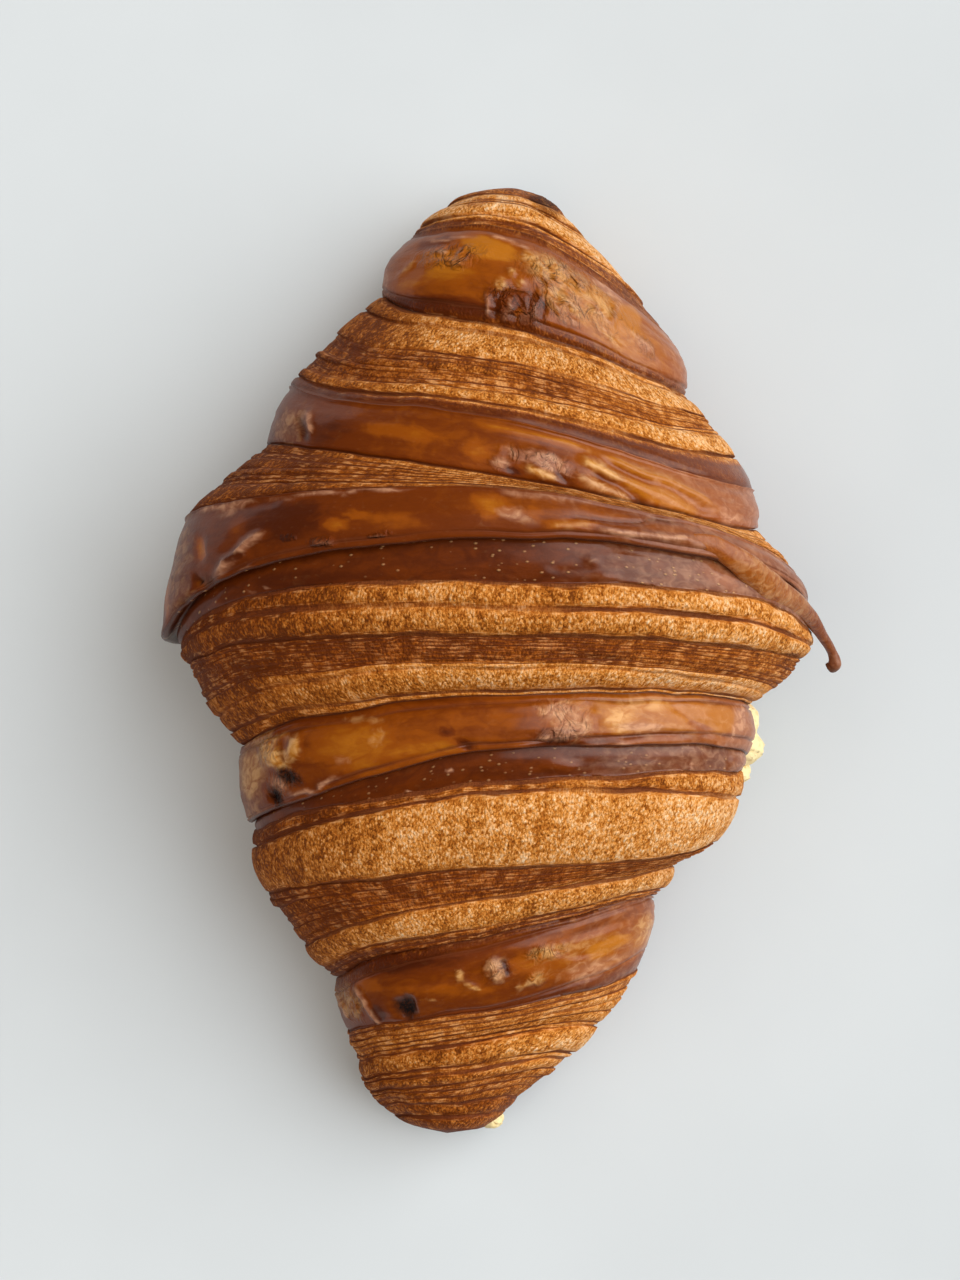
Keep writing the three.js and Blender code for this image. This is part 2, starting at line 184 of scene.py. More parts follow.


# Each face, from one seam to the next. bulge is how far its middle swells out, toast how
# dark it is baked, to which the painted side shading is added later, wash how far it is egg-washed, and
# bubbly how many small blisters stand on it. A rim is a raised edge at its start, or a groove where it is
# negative, and a crease is a groove at its end; on a washed face such a groove is also painted dark, as
# painted shade. Below a lip the face starts under the edge above it: under says how deep in the dough and
# how far north.
# Its lines and strips lie at shares of the way across it, given at the left flank, crown and right flank.
# Among its marks, lift raises the crust in millimetres, wrinkle crumples it, and toast,
# char, pale and film change its colour: pale is thin honey skin, and film is
# dull dry skin and also painted sheen, its raised folds along rims, lips and crumple ridges being painted
# highlights. A mark covers those before it.
FACES = [
    dict(
        start="north_nub",
        end="north_end",
        bulge=0.4,
        toast=0.35,
        wash=0.1,
        marks=[
            spot((1.3, 77.6), (2.7, 1.2), turn=-10, toast=0.3, film=0.3),
            spot((5.2, 76.6), (2.3, 1.8), turn=-25, lift=0.9, char=0.7, toast=0.3),
        ],
    ),
    dict(
        start="north_end",
        end="inner_north_ridge",
        bulge=1,
        toast=-0.2,
        lines=[
            line(0.2, 0.22, 0.2, dark=0.6),
            line(0.3, 0.28, 0.26, depth=0.3),
            line(0.72, 0.7, 0.66, half=0.6, depth=0.8),
            line(0.85, 0.85, 0.8, depth=0.3, dark=0.6),
        ],
        strips=[strip((0.75, 0.75, 0.7), (1, 1, 1), 0.6, 0.3)],
        marks=[
            spot((5.6, 75), (2, 1.4), turn=-20, lift=0.5, toast=0.5, char=0.35),
            spot((-4.8, 75.3), (2.3, 1.3), turn=5, toast=0.5, film=0.3),
            fold((-6.7, 73.7), (7.3, 72.8), 0.35, lift=-0.4, toast=0.6),
        ],
    ),
    dict(
        start="inner_north_ridge",
        end="inner_north_crease",
        bulge=2.2,
        toast=0.36,
        wash=1,
        rim=0.3,
        crease=0.9,
        lines=[
            line(0.08, 0.06, 0.22, half=0.3, depth=0.25, dark=0.4),
            line(0.86, 0.88, 0.9, depth=0.4, dark=0.5),
        ],
        strips=[
            strip((-0.1, -0.1, -0.1), (0.08, 0.06, 0.22), 0.8, 0.55),
            strip((0.86, 0.88, 0.9), (1.1, 1.1, 1.1), 0.85, 0.55),
        ],
        marks=[
            # Right half lighter: partly paler skin, partly painted light where the window's light falls.
            spot((15.2, 56.7), (12.0, 5.5), turn=-42, toast=-0.22, pale=0.2),
            spot((10.5, 60.5), (9, 3.6), turn=-35, toast=-0.1, pale=0.42, film=0.25, wrinkle=0.7),
            spot((-8, 65), (5, 2), turn=5, toast=-0.2, wrinkle=0.6),
            spot((5.6, 64.0), (3.6, 2.3), turn=-20, lift=0.3, pale=0.55, film=0.15),
            spot((8.9, 58.5), (4.3, 2.8), turn=-30, pale=0.45, wrinkle=0.6),
            fold((2.8, 65.1), (8.9, 60.7), 0.35, lift=0.45, pale=0.7),
            fold((3.6, 62.7), (8.0, 58.4), 0.3, lift=-0.4, toast=0.15),
            fold((6.4, 64.8), (13.5, 59.8), 0.35, lift=0.4, film=0.5),
            fold((6.1, 60.2), (12.0, 55.8), 0.35, lift=0.4, pale=0.65),
            fold((7.9, 61.1), (13.9, 56.7), 0.3, lift=-0.4, toast=0.1),
            fold((11.0, 60.4), (17.3, 54.5), 0.35, lift=0.35, film=0.6),
            fold((13.3, 55.3), (19.1, 51.1), 0.35, lift=0.3, pale=0.6),
            spot((-12.6, 63.5), (7.3, 3.6), turn=10, toast=-0.1),
            spot((-11.2, 67.5), (2.6, 1.1), turn=15, toast=0.3),
            spot((-2.4, 66.5), (4.3, 1.9), turn=-18, toast=-0.5),
            spot((-8.9, 61.8), (3.8, 1.4), turn=5, toast=-0.25),
            spot((-14.8, 60.4), (2.1, 1.1), turn=15, toast=-0.2),
            spot((-19.2, 63.3), (1.3, 3.3), film=0.45),
            fold((-17.1, 61.7), (-13, 65.2), 0.5, lift=0.3, pale=0.4),
            fold((-13.3, 68.2), (-5.4, 68.2), 0.35, lift=0.25, film=0.8),
            fold((-4.2, 69.2), (4.2, 66.6), 0.35, lift=0.3, film=0.7),
            spot((-9.8, 65.7), (1, 0.5), lift=0.3, film=0.8, wrinkle=1),
            spot((-7.5, 63.8), (1.6, 1), turn=-20, wrinkle=1, film=0.3),
            spot((-10.5, 56.8), (9.6, 1.4), turn=-4, toast=0.5),
            spot((3.3, 65.4), (1.4, 1), turn=-30, lift=0.35, pale=0.6),
            spot((5.2, 63.4), (1.3, 0.8), turn=-30, lift=0.35, pale=0.6),
            spot((7.5, 62.4), (1.4, 0.8), turn=-35, lift=0.35, pale=0.5, toast=-0.1),
            spot((10.2, 60.7), (4.8, 1.4), turn=-30, pale=0.4, toast=-0.1),
            spot((14.5, 58.5), (3.5, 1.6), turn=-40, pale=0.5, wrinkle=0.3),
            spot((16, 61.6), (2.9, 0.8), turn=-30, film=0.75),
            spot((10.4, 58.3), (1.9, 1.3), turn=-30, film=0.55),
            spot((2.6, 57.9), (5.4, 1.8), turn=-10, lift=0.2, toast=0.22, wrinkle=1),
            spot((2.4, 55.5), (4.1, 1.4), turn=-8, toast=0.15, wrinkle=1, film=0.3),
            spot((0.6, 62.4), (0.6, 1), turn=10, lift=0.4, pale=0.55),
            spot((2.1, 60.7), (0.8, 0.8), lift=0.35, pale=0.55),
            spot((-0.9, 60.3), (1, 1.4), turn=-15, lift=0.3, pale=0.55),
            fold((-2.6, 59.2), (-3, 54.7), 0.35, lift=0.6, film=0.6),
            fold((1.3, 58.5), (-0.7, 54.5), 0.35, lift=0.5, film=0.6),
            fold((4.1, 58.7), (4.9, 53.6), 0.4, lift=0.6, film=0.5),
            fold((6.3, 59.5), (8.5, 55.4), 0.35, lift=0.4, film=0.5),
            fold((-1.4, 58), (-1.9, 54.8), 0.35, lift=-0.5, toast=0.3, film=0),
            fold((2.6, 56.9), (1.5, 54), 0.35, lift=-0.4, toast=-0.5, film=0),
            fold((5.6, 58.5), (5.9, 54.6), 0.35, lift=-0.5, toast=0.3, film=0),
            spot((10.4, 55), (1.6, 0.8), turn=-20, film=0.6, wrinkle=0.7),
            spot((15.3, 54.2), (1.9, 0.8), turn=-30, film=0.45, wrinkle=0.5),
            spot((18.7, 56.8), (2.1, 2.7), turn=-30, toast=-0.4, pale=0),
            fold((18.4, 60.9), (16, 54.6), 0.35, lift=0.3, film=0.8),
            spot((22.1, 52.5), (2.3, 1.1), turn=-50, film=0.55, wrinkle=0.5),
            fold((19.3, 54.8), (23.5, 51.7), 0.3, lift=0.3, film=0.7),
        ],
    ),
    dict(
        start="inner_north_crease",
        end="middle_north_ridge",
        bulge=1.1,
        toast=0.12,
        lines=[line(0.16, 0.1, 0.06, depth=0.4, dark=0.6)]
        + sheaf((0.42, 0.4, 0.24), (0.8, 0.72, 0.4), 7)
        + [line(0.9, 0.86, 0.66, depth=0.5)],
        strips=[
            strip((0.42, 0.4, 0.24), (0.8, 0.72, 0.4), 0.46, 0),
            strip((0.9, 0.88, 0.68), (1.1, 1.1, 1.1), 0.85, 0.85),
        ],
        marks=[spot((-19, 53), (7, 5), toast=0.3)],
    ),
    dict(
        start="middle_north_ridge",
        end="middle_north_crease",
        bulge=0.7,
        toast=0.46,
        wash=1,
        rim=0.45,
        crease=0.8,
        marks=[
            # Right half lighter: partly paler skin, partly painted light where the window's light falls.
            spot((23.6, 29.2), (13.0, 3.1), turn=-20, toast=-0.22, pale=0.15),
            spot((-31.0, 34.4), (9.4, 2.8), turn=0, toast=0.12),
            fold((-4.4, 36.6), (15.7, 33), 0.45, lift=0.45, toast=-0.45),
            fold((14.1, 33.4), (35.7, 26.4), 0.5, lift=0.5, toast=-0.45),
            spot((-25.2, 34.9), (4.3, 2.2), toast=0.15),
            spot((-14.9, 34.4), (6.1, 1.2), turn=-6, toast=-0.25),
            spot((-2.9, 31.8), (2.1, 1.4), turn=-20, toast=-0.3),
            spot((0.5, 30.3), (1.6, 1.1), film=0.6, pale=0.2, wrinkle=0.3),
            spot((2.9, 31.9), (2.3, 1), turn=-12, film=0.55, wrinkle=0.4),
            spot((7.8, 31), (4.2, 1.6), turn=-22, film=0.75, wrinkle=0.45),
            spot((2.6, 29.2), (1.2, 0.6), turn=-20, toast=0.5, film=0, lift=-0.3),
            fold((3.8, 30.4), (10, 28), 0.7, lift=0.6, pale=0.8),
            fold((8.4, 29.8), (11.9, 27.3), 0.5, lift=-0.6, toast=0.3, film=0, pale=0),
            fold((10.9, 29.9), (22.8, 24.9), 0.9, lift=0.6, pale=0.6, film=0.35),
            fold((12, 32.2), (20.2, 28.2), 0.85, lift=0.8, pale=0.85),
            fold((17.7, 29.3), (32.3, 24.4), 1, lift=0.6, toast=-0.5, pale=0.3),
            fold((13.3, 30.8), (25.7, 24.1), 0.55, lift=-0.7, toast=0.2, film=0, pale=0),
            fold((15.1, 32.2), (25.3, 28.1), 0.5, lift=-0.6, toast=0.15, film=0, pale=0),
            fold((23.7, 28.9), (34.7, 25.3), 0.8, lift=-0.6, toast=0.05, film=0, pale=0),
            spot((36.8, 24.9), (2.8, 1.9), turn=-30, film=0.6),
            spot((-32.5, 35.8), (3.2, 3.4), turn=0, pale=0.3, film=0.3),
            fold((-30.8, 37.4), (-29.8, 32.7), 0.4, lift=-0.5, toast=0.4, film=0.2),
            fold((-29.4, 38.3), (-28.5, 33.6), 0.5, lift=0.4, film=0.85),
        ],
    ),
    dict(
        start="middle_north_crease",
        end="last_north_ridge",
        bulge=0.5,
        toast=0.2,
        lines=[
            line(0.1, 0.2, 0.2, dark=0.7),
            line(0.2, 0.3, 0.35, depth=0.3),
            line(0.36, 0.42, 0.45, depth=0.3, dark=0.6),
            line(0.5, 0.55, 0.6, depth=0.5),
            line(0.56, 0.68, 0.7, depth=0.3),
            line(0.63, 0.78, 0.8, depth=0.3),
        ],
        strips=[strip((0.05, 0.2, 0.2), (0.3, 0.8, 0.8), 0.3, 0)],
    ),
    dict(
        start="last_north_ridge",
        end="last_lip",
        bulge=0.9,
        toast=0.56,
        wash=1,
        rim=0.4,
        lines=[line(1, 0.88, 0.84, half=0.25, depth=0.25, dark=0.5)],
        marks=[
            spot((6.8, 23.2), (11.8, 2.7), turn=-4, toast=-0.15),
            # Painted highlights along the top rim, and partly painted sheen on the steep left end.
            fold((-47.3, 20.9), (-35.3, 23.1), 0.4, lift=0.3, film=0.8),
            fold((-37.3, 22.9), (-9.6, 25.7), 0.35, lift=0.2, film=0.7),
            spot((-50, 14), (4.1, 8), pale=0.28, film=0.12),
            spot((-47, 6.5), (3.5, 3.5), turn=20, film=0.2, pale=0.2),
            spot((-40.1, 21.2), (2.5, 0.9), turn=20, film=0.5),
            spot((-30.4, 19.8), (6.9, 2.7), turn=5, toast=0.22),
            spot((-23.3, 19.3), (2.1, 1), toast=-0.5),
            spot((-20.5, 21.1), (2.1, 0.7), toast=-0.3),
            spot((-14.9, 20.4), (5, 1.3), toast=-0.2),
            spot((-38.4, 18.4), (1.4, 1.4), toast=-0.25),
            spot((-48.4, 18.8), (0.3, 0.6), turn=-20, char=0.9, film=0),
            spot((-44.5, 15), (0.9, 2), turn=12, lift=-0.4, toast=-0.6, film=0),
            spot((-44.5, 9.6), (0.8, 0.9), turn=-30, lift=-0.3, toast=-0.5, film=0),
            spot((-50.4, 6.6), (0.8, 3.5), toast=-0.4, film=0.1),
            spot((-49.2, 0.3), (0.6, 0.6), toast=-0.5, film=0),
            fold((-43, 9.7), (-33.2, 18.8), 0.6, lift=1, film=0.9),
            fold((-41.1, 12.5), (-36.2, 15.6), 0.45, lift=0.7, film=0.9),
            fold((-42.5, 8.5), (-34.7, 12.8), 0.6, lift=0.6, film=0.5),
            fold((-40.1, 10), (-34.2, 11), 0.5, lift=0.3, film=0.45),
            fold((-40, 12.5), (-36.8, 14.9), 0.35, lift=-0.6, toast=0.5, film=0),
            fold((-38.8, 10.8), (-34.9, 11.8), 0.3, lift=-0.5, toast=0.5, film=0),
            fold((-38.7, 8.6), (-34.2, 11.3), 0.3, lift=0.25, film=0.5),
            fold((-35.2, 11.1), (-21, 15), 0.3, lift=0.25, film=0.75),
            spot((-43.3, 9.7), (1.2, 1.1), lift=-0.3, char=0.45, film=0.3),
            spot((-44.8, 10.1), (0.6, 0.6), lift=-0.8, char=1),
            fold((-48.4, 6.1), (-42.4, 9), 0.35, lift=-0.6, toast=0.8, film=0),
            spot((-25.1, 16.5), (1.7, 0.6), turn=8, lift=0.2, wrinkle=1, film=0.35),
            spot((-16.6, 18.1), (1.5, 0.3), turn=12, lift=0.2, wrinkle=1, film=0.5),
            spot((-30.2, 17.2), (0.9, 0.4), wrinkle=1, film=0.3),
            spot((-0.3, 23.8), (2.7, 1.5), turn=-5, toast=-0.3),
            spot((2.7, 22.3), (3.2, 1.2), turn=-5, film=0.6, pale=0.2),
            spot((-0.5, 22), (1, 0.7), toast=-0.25, film=0),
            spot((5.8, 22.8), (0.9, 0.9), turn=30, toast=-0.25, film=0, pale=0),
            fold((7, 20.5), (15.8, 21.7), 0.7, lift=0.3, toast=-0.4, pale=0.3),
            fold((9.2, 22.1), (30.3, 22.9), 0.3, lift=-0.4, toast=0.4),
            fold((13.7, 20.8), (31.8, 20.5), 0.55, lift=0.5, film=0.85),
            # Painted sheen along the top edge of the right half.
            fold((-2.2, 25.7), (18.8, 25), 0.6, film=0.5),
            spot((23, 23.5), (4.5, 0.7), turn=-8, film=0.35),
        ],
    ),
    dict(
        start="last_lip",
        end="outer_south_ridge",
        bulge=0.6,
        toast=0.82,
        wash=1,
        bubbly=1,
        under=(2.6, 1.4),
        marks=[
            spot((16.1, 18.7), (13.4, 1), turn=-2, toast=-0.2),
            spot((17.1, 14), (1.8, 0.7), lift=0.5, toast=-0.12),
            spot((15, 16.2), (0.9, 0.4), turn=-8, lift=0.35, film=0.5),
            spot((8.1, 14.1), (1.3, 0.4), lift=0.25),
            spot((18.1, 3.7), (0.3, 0.3), film=0),
            spot((-28.5, 10.9), (9, 1.4), turn=6, toast=0.1),
            spot((34.8, 15.5), (4.5, 1.8), turn=-35, toast=-0.3),
            # These five tiny spots are painted glints.
            spot((15.4, 19.7), (0.6, 0.2), film=0.8),
            spot((23.4, 20.1), (0.9, 0.3), film=0.7),
            spot((20.3, 20.2), (0.4, 0.2), film=0.7),
            spot((-35.9, 8.8), (0.8, 0.3), film=0.5),
            spot((-33.5, 9.5), (0.5, 0.3), film=0.7),
        ],
    ),
    dict(
        start="outer_south_ridge",
        end="outer_south_fold",
        bulge=1,
        toast=0.2,
        lines=[line(0.33, 0.46, 0.48, half=0.6, depth=0.8)],
        crease=0.5,
        marks=[spot((-14, 2.4), (4.5, 0.7), turn=5, lift=-0.7, toast=0.9)],
    ),
    dict(
        start="outer_south_fold",
        end="outer_south_crease",
        bulge=1.2,
        toast=0.02,
        lines=sheaf((0.05, 0.05, 0.08), (0.48, 0.42, 0.65), 7, dark=0.9)
        + [line(0.66, 0.5, 0.8, depth=0.3, dark=0.4), line(0.84, 0.93, 0.93, depth=0.5)],
        strips=[strip((-0.1, -0.1, -0.1), (0.5, 0.44, 0.68), 0.68, 0)],
    ),
    dict(
        start="outer_south_crease",
        end="middle_lip",
        bulge=1.1,
        toast=0.42,
        wash=1,
        rim=-0.7,
        lines=[
            line(0.12, 0.14, 0.1, half=0.3, depth=0.3, dark=0.7),
            line(1, 0.9, 0.76, half=0.3, depth=0.4, dark=0.6),
        ],
        marks=[
            # Right half lighter: partly paler skin, partly painted light where the window's light falls.
            spot((25.1, -6.5), (15.4, 3.4), turn=-2, toast=-0.3, pale=0.22),
            spot((-15.2, -13.4), (13.7, 3.7), turn=5, toast=-0.1),
            spot((-32.3, -15.9), (2.2, 2.4), turn=-20, lift=0.6, pale=0.65, wrinkle=0.5),
            spot((-30.3, -17), (2, 2), lift=0.5, pale=0.75),
            spot((-28, -14.9), (1.1, 2), lift=0.6, pale=0.8),
            spot((-30, -13.1), (1.1, 0.6), toast=-0.2, pale=0.5),
            fold((-30.4, -14.6), (-29.2, -17.9), 0.3, lift=-0.4, toast=0.2, pale=0.3),
            spot((-34.7, -13.8), (2.5, 1.3), turn=20, pale=0.5, film=0.3),
            spot((-35.6, -20.1), (2.8, 5), pale=0.55),
            spot((-35.4, -26.9), (2.3, 2.4), pale=0.3, film=0.25),
            spot((-30.6, -20.9), (1.7, 1.4), film=0.7, pale=0, wrinkle=0.6),
            spot((-28.9, -19.6), (2, 1.1), turn=-5, lift=-0.3, wrinkle=1, char=0.85, pale=0),
            spot((-31.3, -23), (1.1, 1.3), lift=-0.4, wrinkle=1, char=0.9),
            fold((-29.7, -23.1), (-24.1, -21), 0.35, lift=0.5, film=0.85),
            fold((-25.1, -21.4), (-20.6, -18.2), 0.35, lift=0.5, film=0.85),
            fold((-31, -25), (-16.1, -20.5), 0.4, lift=0.3, film=0.75),
            spot((-19.1, -13.7), (6.7, 3.1), turn=5, toast=-0.28),
            spot((-15.4, -12.4), (1.1, 1.7), turn=-20, pale=0.5),
            spot((-17.3, -9.8), (3.7, 0.6), turn=3, pale=0.4),
            spot((-20.5, -16.1), (1.4, 0.8), film=0.35, pale=0.2),
            spot((-17.2, -17.2), (3.4, 1.1), turn=10, toast=-0.2),
            spot((-7.8, -13.5), (5.5, 1.2), turn=8, toast=-0.25),
            spot((-2.1, -12.5), (1.4, 0.6), turn=-25, lift=-0.4, toast=0.6),
            spot((-5.1, -10.7), (1.1, 0.6), toast=0.35),
            spot((2.9, -8.4), (3, 1.5), turn=5, toast=-0.1),
            spot((11.9, -6.7), (3.6, 1.9), film=0.6, pale=0.4, wrinkle=0.3),
            spot((14.3, -8.7), (3, 2.4), film=0.6, pale=0.4, wrinkle=0.3),
            spot((11.5, -10.4), (3.4, 1.1), turn=3, film=0.6, toast=0.3, wrinkle=0.6, pale=0),
            spot((16.3, -6.2), (0.9, 1.2), turn=20, lift=-0.3, toast=0.05, film=0, pale=0),
            spot((17.4, -7.9), (0.6, 1.1), turn=-20, lift=-0.3, toast=0.05, film=0, pale=0),
            spot((20.8, -7.5), (2.3, 2), pale=0.65, toast=-0.2),
            spot((26.2, -4.8), (5.6, 0.9), pale=0.5, toast=-0.2),
            spot((24.4, -8.4), (5.2, 0.9), turn=-2, film=0.75),
            spot((34.6, -5.8), (5.3, 1.9), turn=-10, toast=-0.6, pale=0.15),
            fold((27.5, -4.1), (37.1, -9.4), 0.9, lift=-0.4, toast=0.4, pale=0),
            spot((40.5, -7.1), (1.6, 4.1), turn=-10, film=0.7),
            fold((6.2, -12.5), (22.3, -10.3), 0.5, lift=-0.5, toast=0.4, film=0),
            fold((19.2, -10.4), (36.9, -9.2), 0.5, lift=-0.5, toast=0.35, film=0),
            fold((6.8, -13.5), (20, -11.4), 0.6, lift=0.4, film=0.85),
            fold((18.5, -11.7), (35.4, -11.6), 0.6, lift=0.4, film=0.85),
            spot((37.5, -11.7), (1.4, 1.7), turn=-20, lift=0.6, film=0.6),
        ],
    ),
    dict(
        start="middle_lip",
        end="middle_south_ridge",
        bulge=0.5,
        toast=0.85,
        wash=1,
        bubbly=0.6,
        under=(1.8, 1),
        marks=[
            spot((12.5, -15), (3.1, 0.8), turn=4, lift=0.45, toast=-0.15),
            spot((41.1, -13.4), (1.9, 1.9), lift=0.8, toast=-0.25, film=0.5),
            # These three tiny spots are painted glints.
            spot((-4.3, -16.7), (0.6, 0.3), film=0.9),
            spot((-10.4, -20.3), (0.5, 0.2), film=0.7),
            spot((33.2, -14.3), (0.3, 0.5), film=0.8),
        ],
    ),
    dict(
        start="middle_south_ridge",
        end="middle_south_fold",
        bulge=1.3,
        toast=0.05,
        lines=[line(0.3, 0.12, 0.36, half=0.5, depth=0.6)],
        strips=[strip((-0.1, -0.1, -0.1), (0.3, 0.12, 0.36), 0.4, 0)],
        crease=0.4,
    ),
    dict(
        start="middle_south_fold",
        end="middle_south_step",
        bulge=0.3,
        toast=0.3,
        lines=sheaf((0.12, 0.12, 0.12), (0.88, 0.88, 0.88), 6, dark=0.9),
        strips=[strip((-0.1, -0.1, -0.1), (0.95, 0.95, 0.95), 0.7, 0)],
    ),
    dict(
        start="middle_south_step",
        end="middle_south_crease",
        bulge=0.9,
        toast=0.12,
        lines=[line(0.7, 0.72, 0.75, depth=0.5), line(0.85, 0.87, 0.88, depth=0.5)],
        strips=[strip((0.7, 0.72, 0.75), (1.1, 1.1, 1.1), 0.6, 0.2)],
        crease=0.6,
    ),
    dict(
        start="middle_south_crease",
        end="inner_south_ridge",
        bulge=1,
        toast=0.5,
        wash=1,
        rim=-0.6,
        lines=[
            line(0.3, 0.12, 0.05, half=0.35, depth=0.4, dark=0.6),
            line(1, 0.96, 0.7, half=0.3, depth=0.3, dark=0.7),
        ],
        strips=[
            strip((-0.1, -0.1, -0.1), (0.3, 0.12, 0.05), 0.8, 0.6),
            strip((1, 0.96, 0.72), (1.2, 1.1, 1.1), 0.85, 1),
        ],
        marks=[
            # Right half lighter: partly paler skin, partly painted light where the window's light falls.
            spot((19.9, -46.3), (11.3, 3.9), turn=14, toast=-0.28, pale=0.2),
            spot((-9.1, -56.4), (1.8, 1.9), lift=-1.1, char=1),
            spot((-18.4, -57.5), (2.9, 3.2), pale=0.45, wrinkle=0.4),
            spot((-15, -53.5), (2.4, 1.3), turn=-10, toast=-0.2),
            fold((-17.4, -53.7), (-12.8, -61), 0.45, lift=0.5, film=0.85),
            fold((-19.8, -57.3), (-17.6, -60.7), 0.4, lift=0.3, film=0.6),
            spot((-13.5, -58.2), (1.3, 1.6), toast=0.4),
            spot((-10.6, -48.8), (9.6, 1.9), turn=8, toast=0.45),
            spot((-2.4, -52.7), (8, 1), turn=6, toast=-0.15),
            fold((-7.4, -54.5), (-3.9, -54.2), 0.2, lift=0.2, pale=0.5),
            spot((-0.9, -50.3), (0.8, 1.1), turn=10, pale=0.6, lift=0.2),
            fold((-0.5, -51.6), (3.1, -52.6), 0.4, lift=0.4, pale=0.7),
            spot((9.5, -47.8), (2.6, 1.4), turn=-10, toast=-0.15),
            spot((4.9, -49), (1.9, 2), lift=0.5, film=0.6, pale=0.55, wrinkle=0.4),
            fold((5.4, -46.8), (7.2, -49.9), 0.4, lift=-0.5, toast=0.9, film=0, pale=0),
            fold((7.6, -52.3), (11, -50.2), 0.5, lift=0.3, pale=0.6, film=0.3),
            spot((11.3, -50.2), (1.5, 1.1), turn=20, pale=0.55, wrinkle=0.4, lift=0.2),
            spot((12.5, -45.8), (3.4, 1.2), turn=12, pale=0.55, wrinkle=0.5),
            spot((14.5, -49.1), (1, 0.6), turn=40, toast=0.1, pale=0, film=0),
            spot((20.1, -48.6), (5.8, 2.1), turn=16, film=0.55, pale=0.2),
            spot((16.8, -45.1), (3.9, 1.1), turn=16, pale=0.4),
            spot((22.5, -44.9), (3.9, 1.1), turn=20, toast=-0.45),
            spot((28.4, -42.7), (2, 3), pale=0.5),
            fold((15, -46.7), (26.3, -45.5), 0.5, lift=-0.3, toast=0.15, film=0),
        ],
    ),
    dict(
        start="inner_south_ridge",
        end="inner_south_fold",
        bulge=0.7,
        toast=0.2,
        lines=[
            line(0.12, 0.2, 0.1, depth=0.3),
            line(0.4, 0.42, 0.3, depth=0.4),
            line(0.62, 0.62, 0.5, depth=0.3, dark=0.6),
            line(0.82, 0.8, 0.75, depth=0.4),
        ],
        strips=[strip((-0.1, -0.1, -0.1), (0.4, 0.42, 0.3), 0.35, 0.1)],
    ),
    dict(
        start="inner_south_fold",
        end="south_end",
        bulge=1.2,
        toast=0.42,
        lines=[
            line(0.1, 0.06, 0.05, half=0.5, depth=0.6),
            line(0.46, 0.4, 0.4, depth=0.5),
            line(0.54, 0.48, 0.46, depth=0.4),
            line(0.72, 0.68, 0.6, depth=0.5),
            line(0.8, 0.78, 0.72, depth=0.3),
            line(0.9, 0.88, 0.85, depth=0.3),
        ],
        strips=[strip((0.7, 0.66, 0.6), (1.1, 1.1, 1.1), 0.5, 0)],
        marks=[spot((14, -63), (9, 6), toast=-0.45)],
    ),
    dict(start="south_end", end="south_nub", bulge=0.4, toast=0.6, wash=0.1, lines=[line(0.5, 0.5, 0.5)]),
]

# The tail: the point of the triangle, dried to a thin curl. Its middle line, and its width and thickness.
TAIL = [
    dict(at=(27.5, 20.6, 52.6), width=1.2, thickness=0.8),
    dict(at=(33, 20, 51), width=3, thickness=1.6),
    dict(at=(38.5, 17.3, 47.9), width=4.2, thickness=2.2),
    dict(at=(43.2, 14.4, 43.4), width=4.6, thickness=2.6),
    dict(at=(47.8, 12.4, 38.2), width=3.6, thickness=2.4),
    dict(at=(51.5, 10.1, 33), width=2.6, thickness=2),
    dict(at=(54.1, 7.6, 29.5), width=1.8, thickness=1.6),
    dict(at=(56.3, 5, 27), width=1.5, thickness=1.5),
    dict(at=(57.1, 3, 26), width=2.2, thickness=2.2),
    dict(at=(56.2, 2.3, 25.5), width=1.8, thickness=1.8),
]

TAIL_LENGTH = 30

# Textures that are sized by the metre
CRUMB_HOLES = 900
CRUMB_CLOUDS = 350
FLOOR_CLOUDS = 18

# Pale crumb that has pushed out from under the crust
CRUMBS = [
    dict(at=(42, -8, 13), radii=(5.4, 5, 6)),
    dict(at=(42, -12, 12), radii=(6.6, 4, 6.5)),
    dict(at=(41.8, -16.3, 10.5), radii=(5, 3.4, 5)),
    dict(at=(6, -78.7, 7), radii=(2.2, 1.9, 2)),
]

# Fineness of the crust's mesh
COLUMNS_OVER = 196
COLUMNS_UNDER = 14  # on each side of the middle of the base
ROW_SPACING = 1.15
WASHED_ROW_SPACING = 0.55
NARROW_LAYER = 1.8  # a layer thinner than this gets only the fewest rows
NARROW_MIDDLE = 0.5  # how far the middle of such a layer counts as being from its lines, at the least
NOISE_CELLS = 128


def smooth(t):
    """Eases a share from 0 to 1."""
    t = np.clip(t, 0, 1)
    return t * t * (3 - 2 * t)


def noise(u, v, seed):
    """Smooth noise from -1 to 1 over two coordinates."""
    grid = np.random.default_rng(seed).uniform(-1, 1, (NOISE_CELLS, NOISE_CELLS))
    u, v = np.broadcast_arrays(np.asarray(u, float), np.asarray(v, float))
    column, row = np.floor(u).astype(int), np.floor(v).astype(int)
    right, up = smooth(u - column), smooth(v - row)

    def value(i, j):
        return grid[(column + i) % NOISE_CELLS, (row + j) % NOISE_CELLS]

    low = value(0, 0) * (1 - right) + value(1, 0) * right
    high = value(0, 1) * (1 - right) + value(1, 1) * right
    return low * (1 - up) + high * up


def rough_noise(u, v, seed, octaves=3):
    """Noise with finer noise on top."""
    total = 0
    for i in range(octaves):
        total = total + noise(u * 2**i, v * 2**i, seed + i) / 2**i
    return total / 1.6


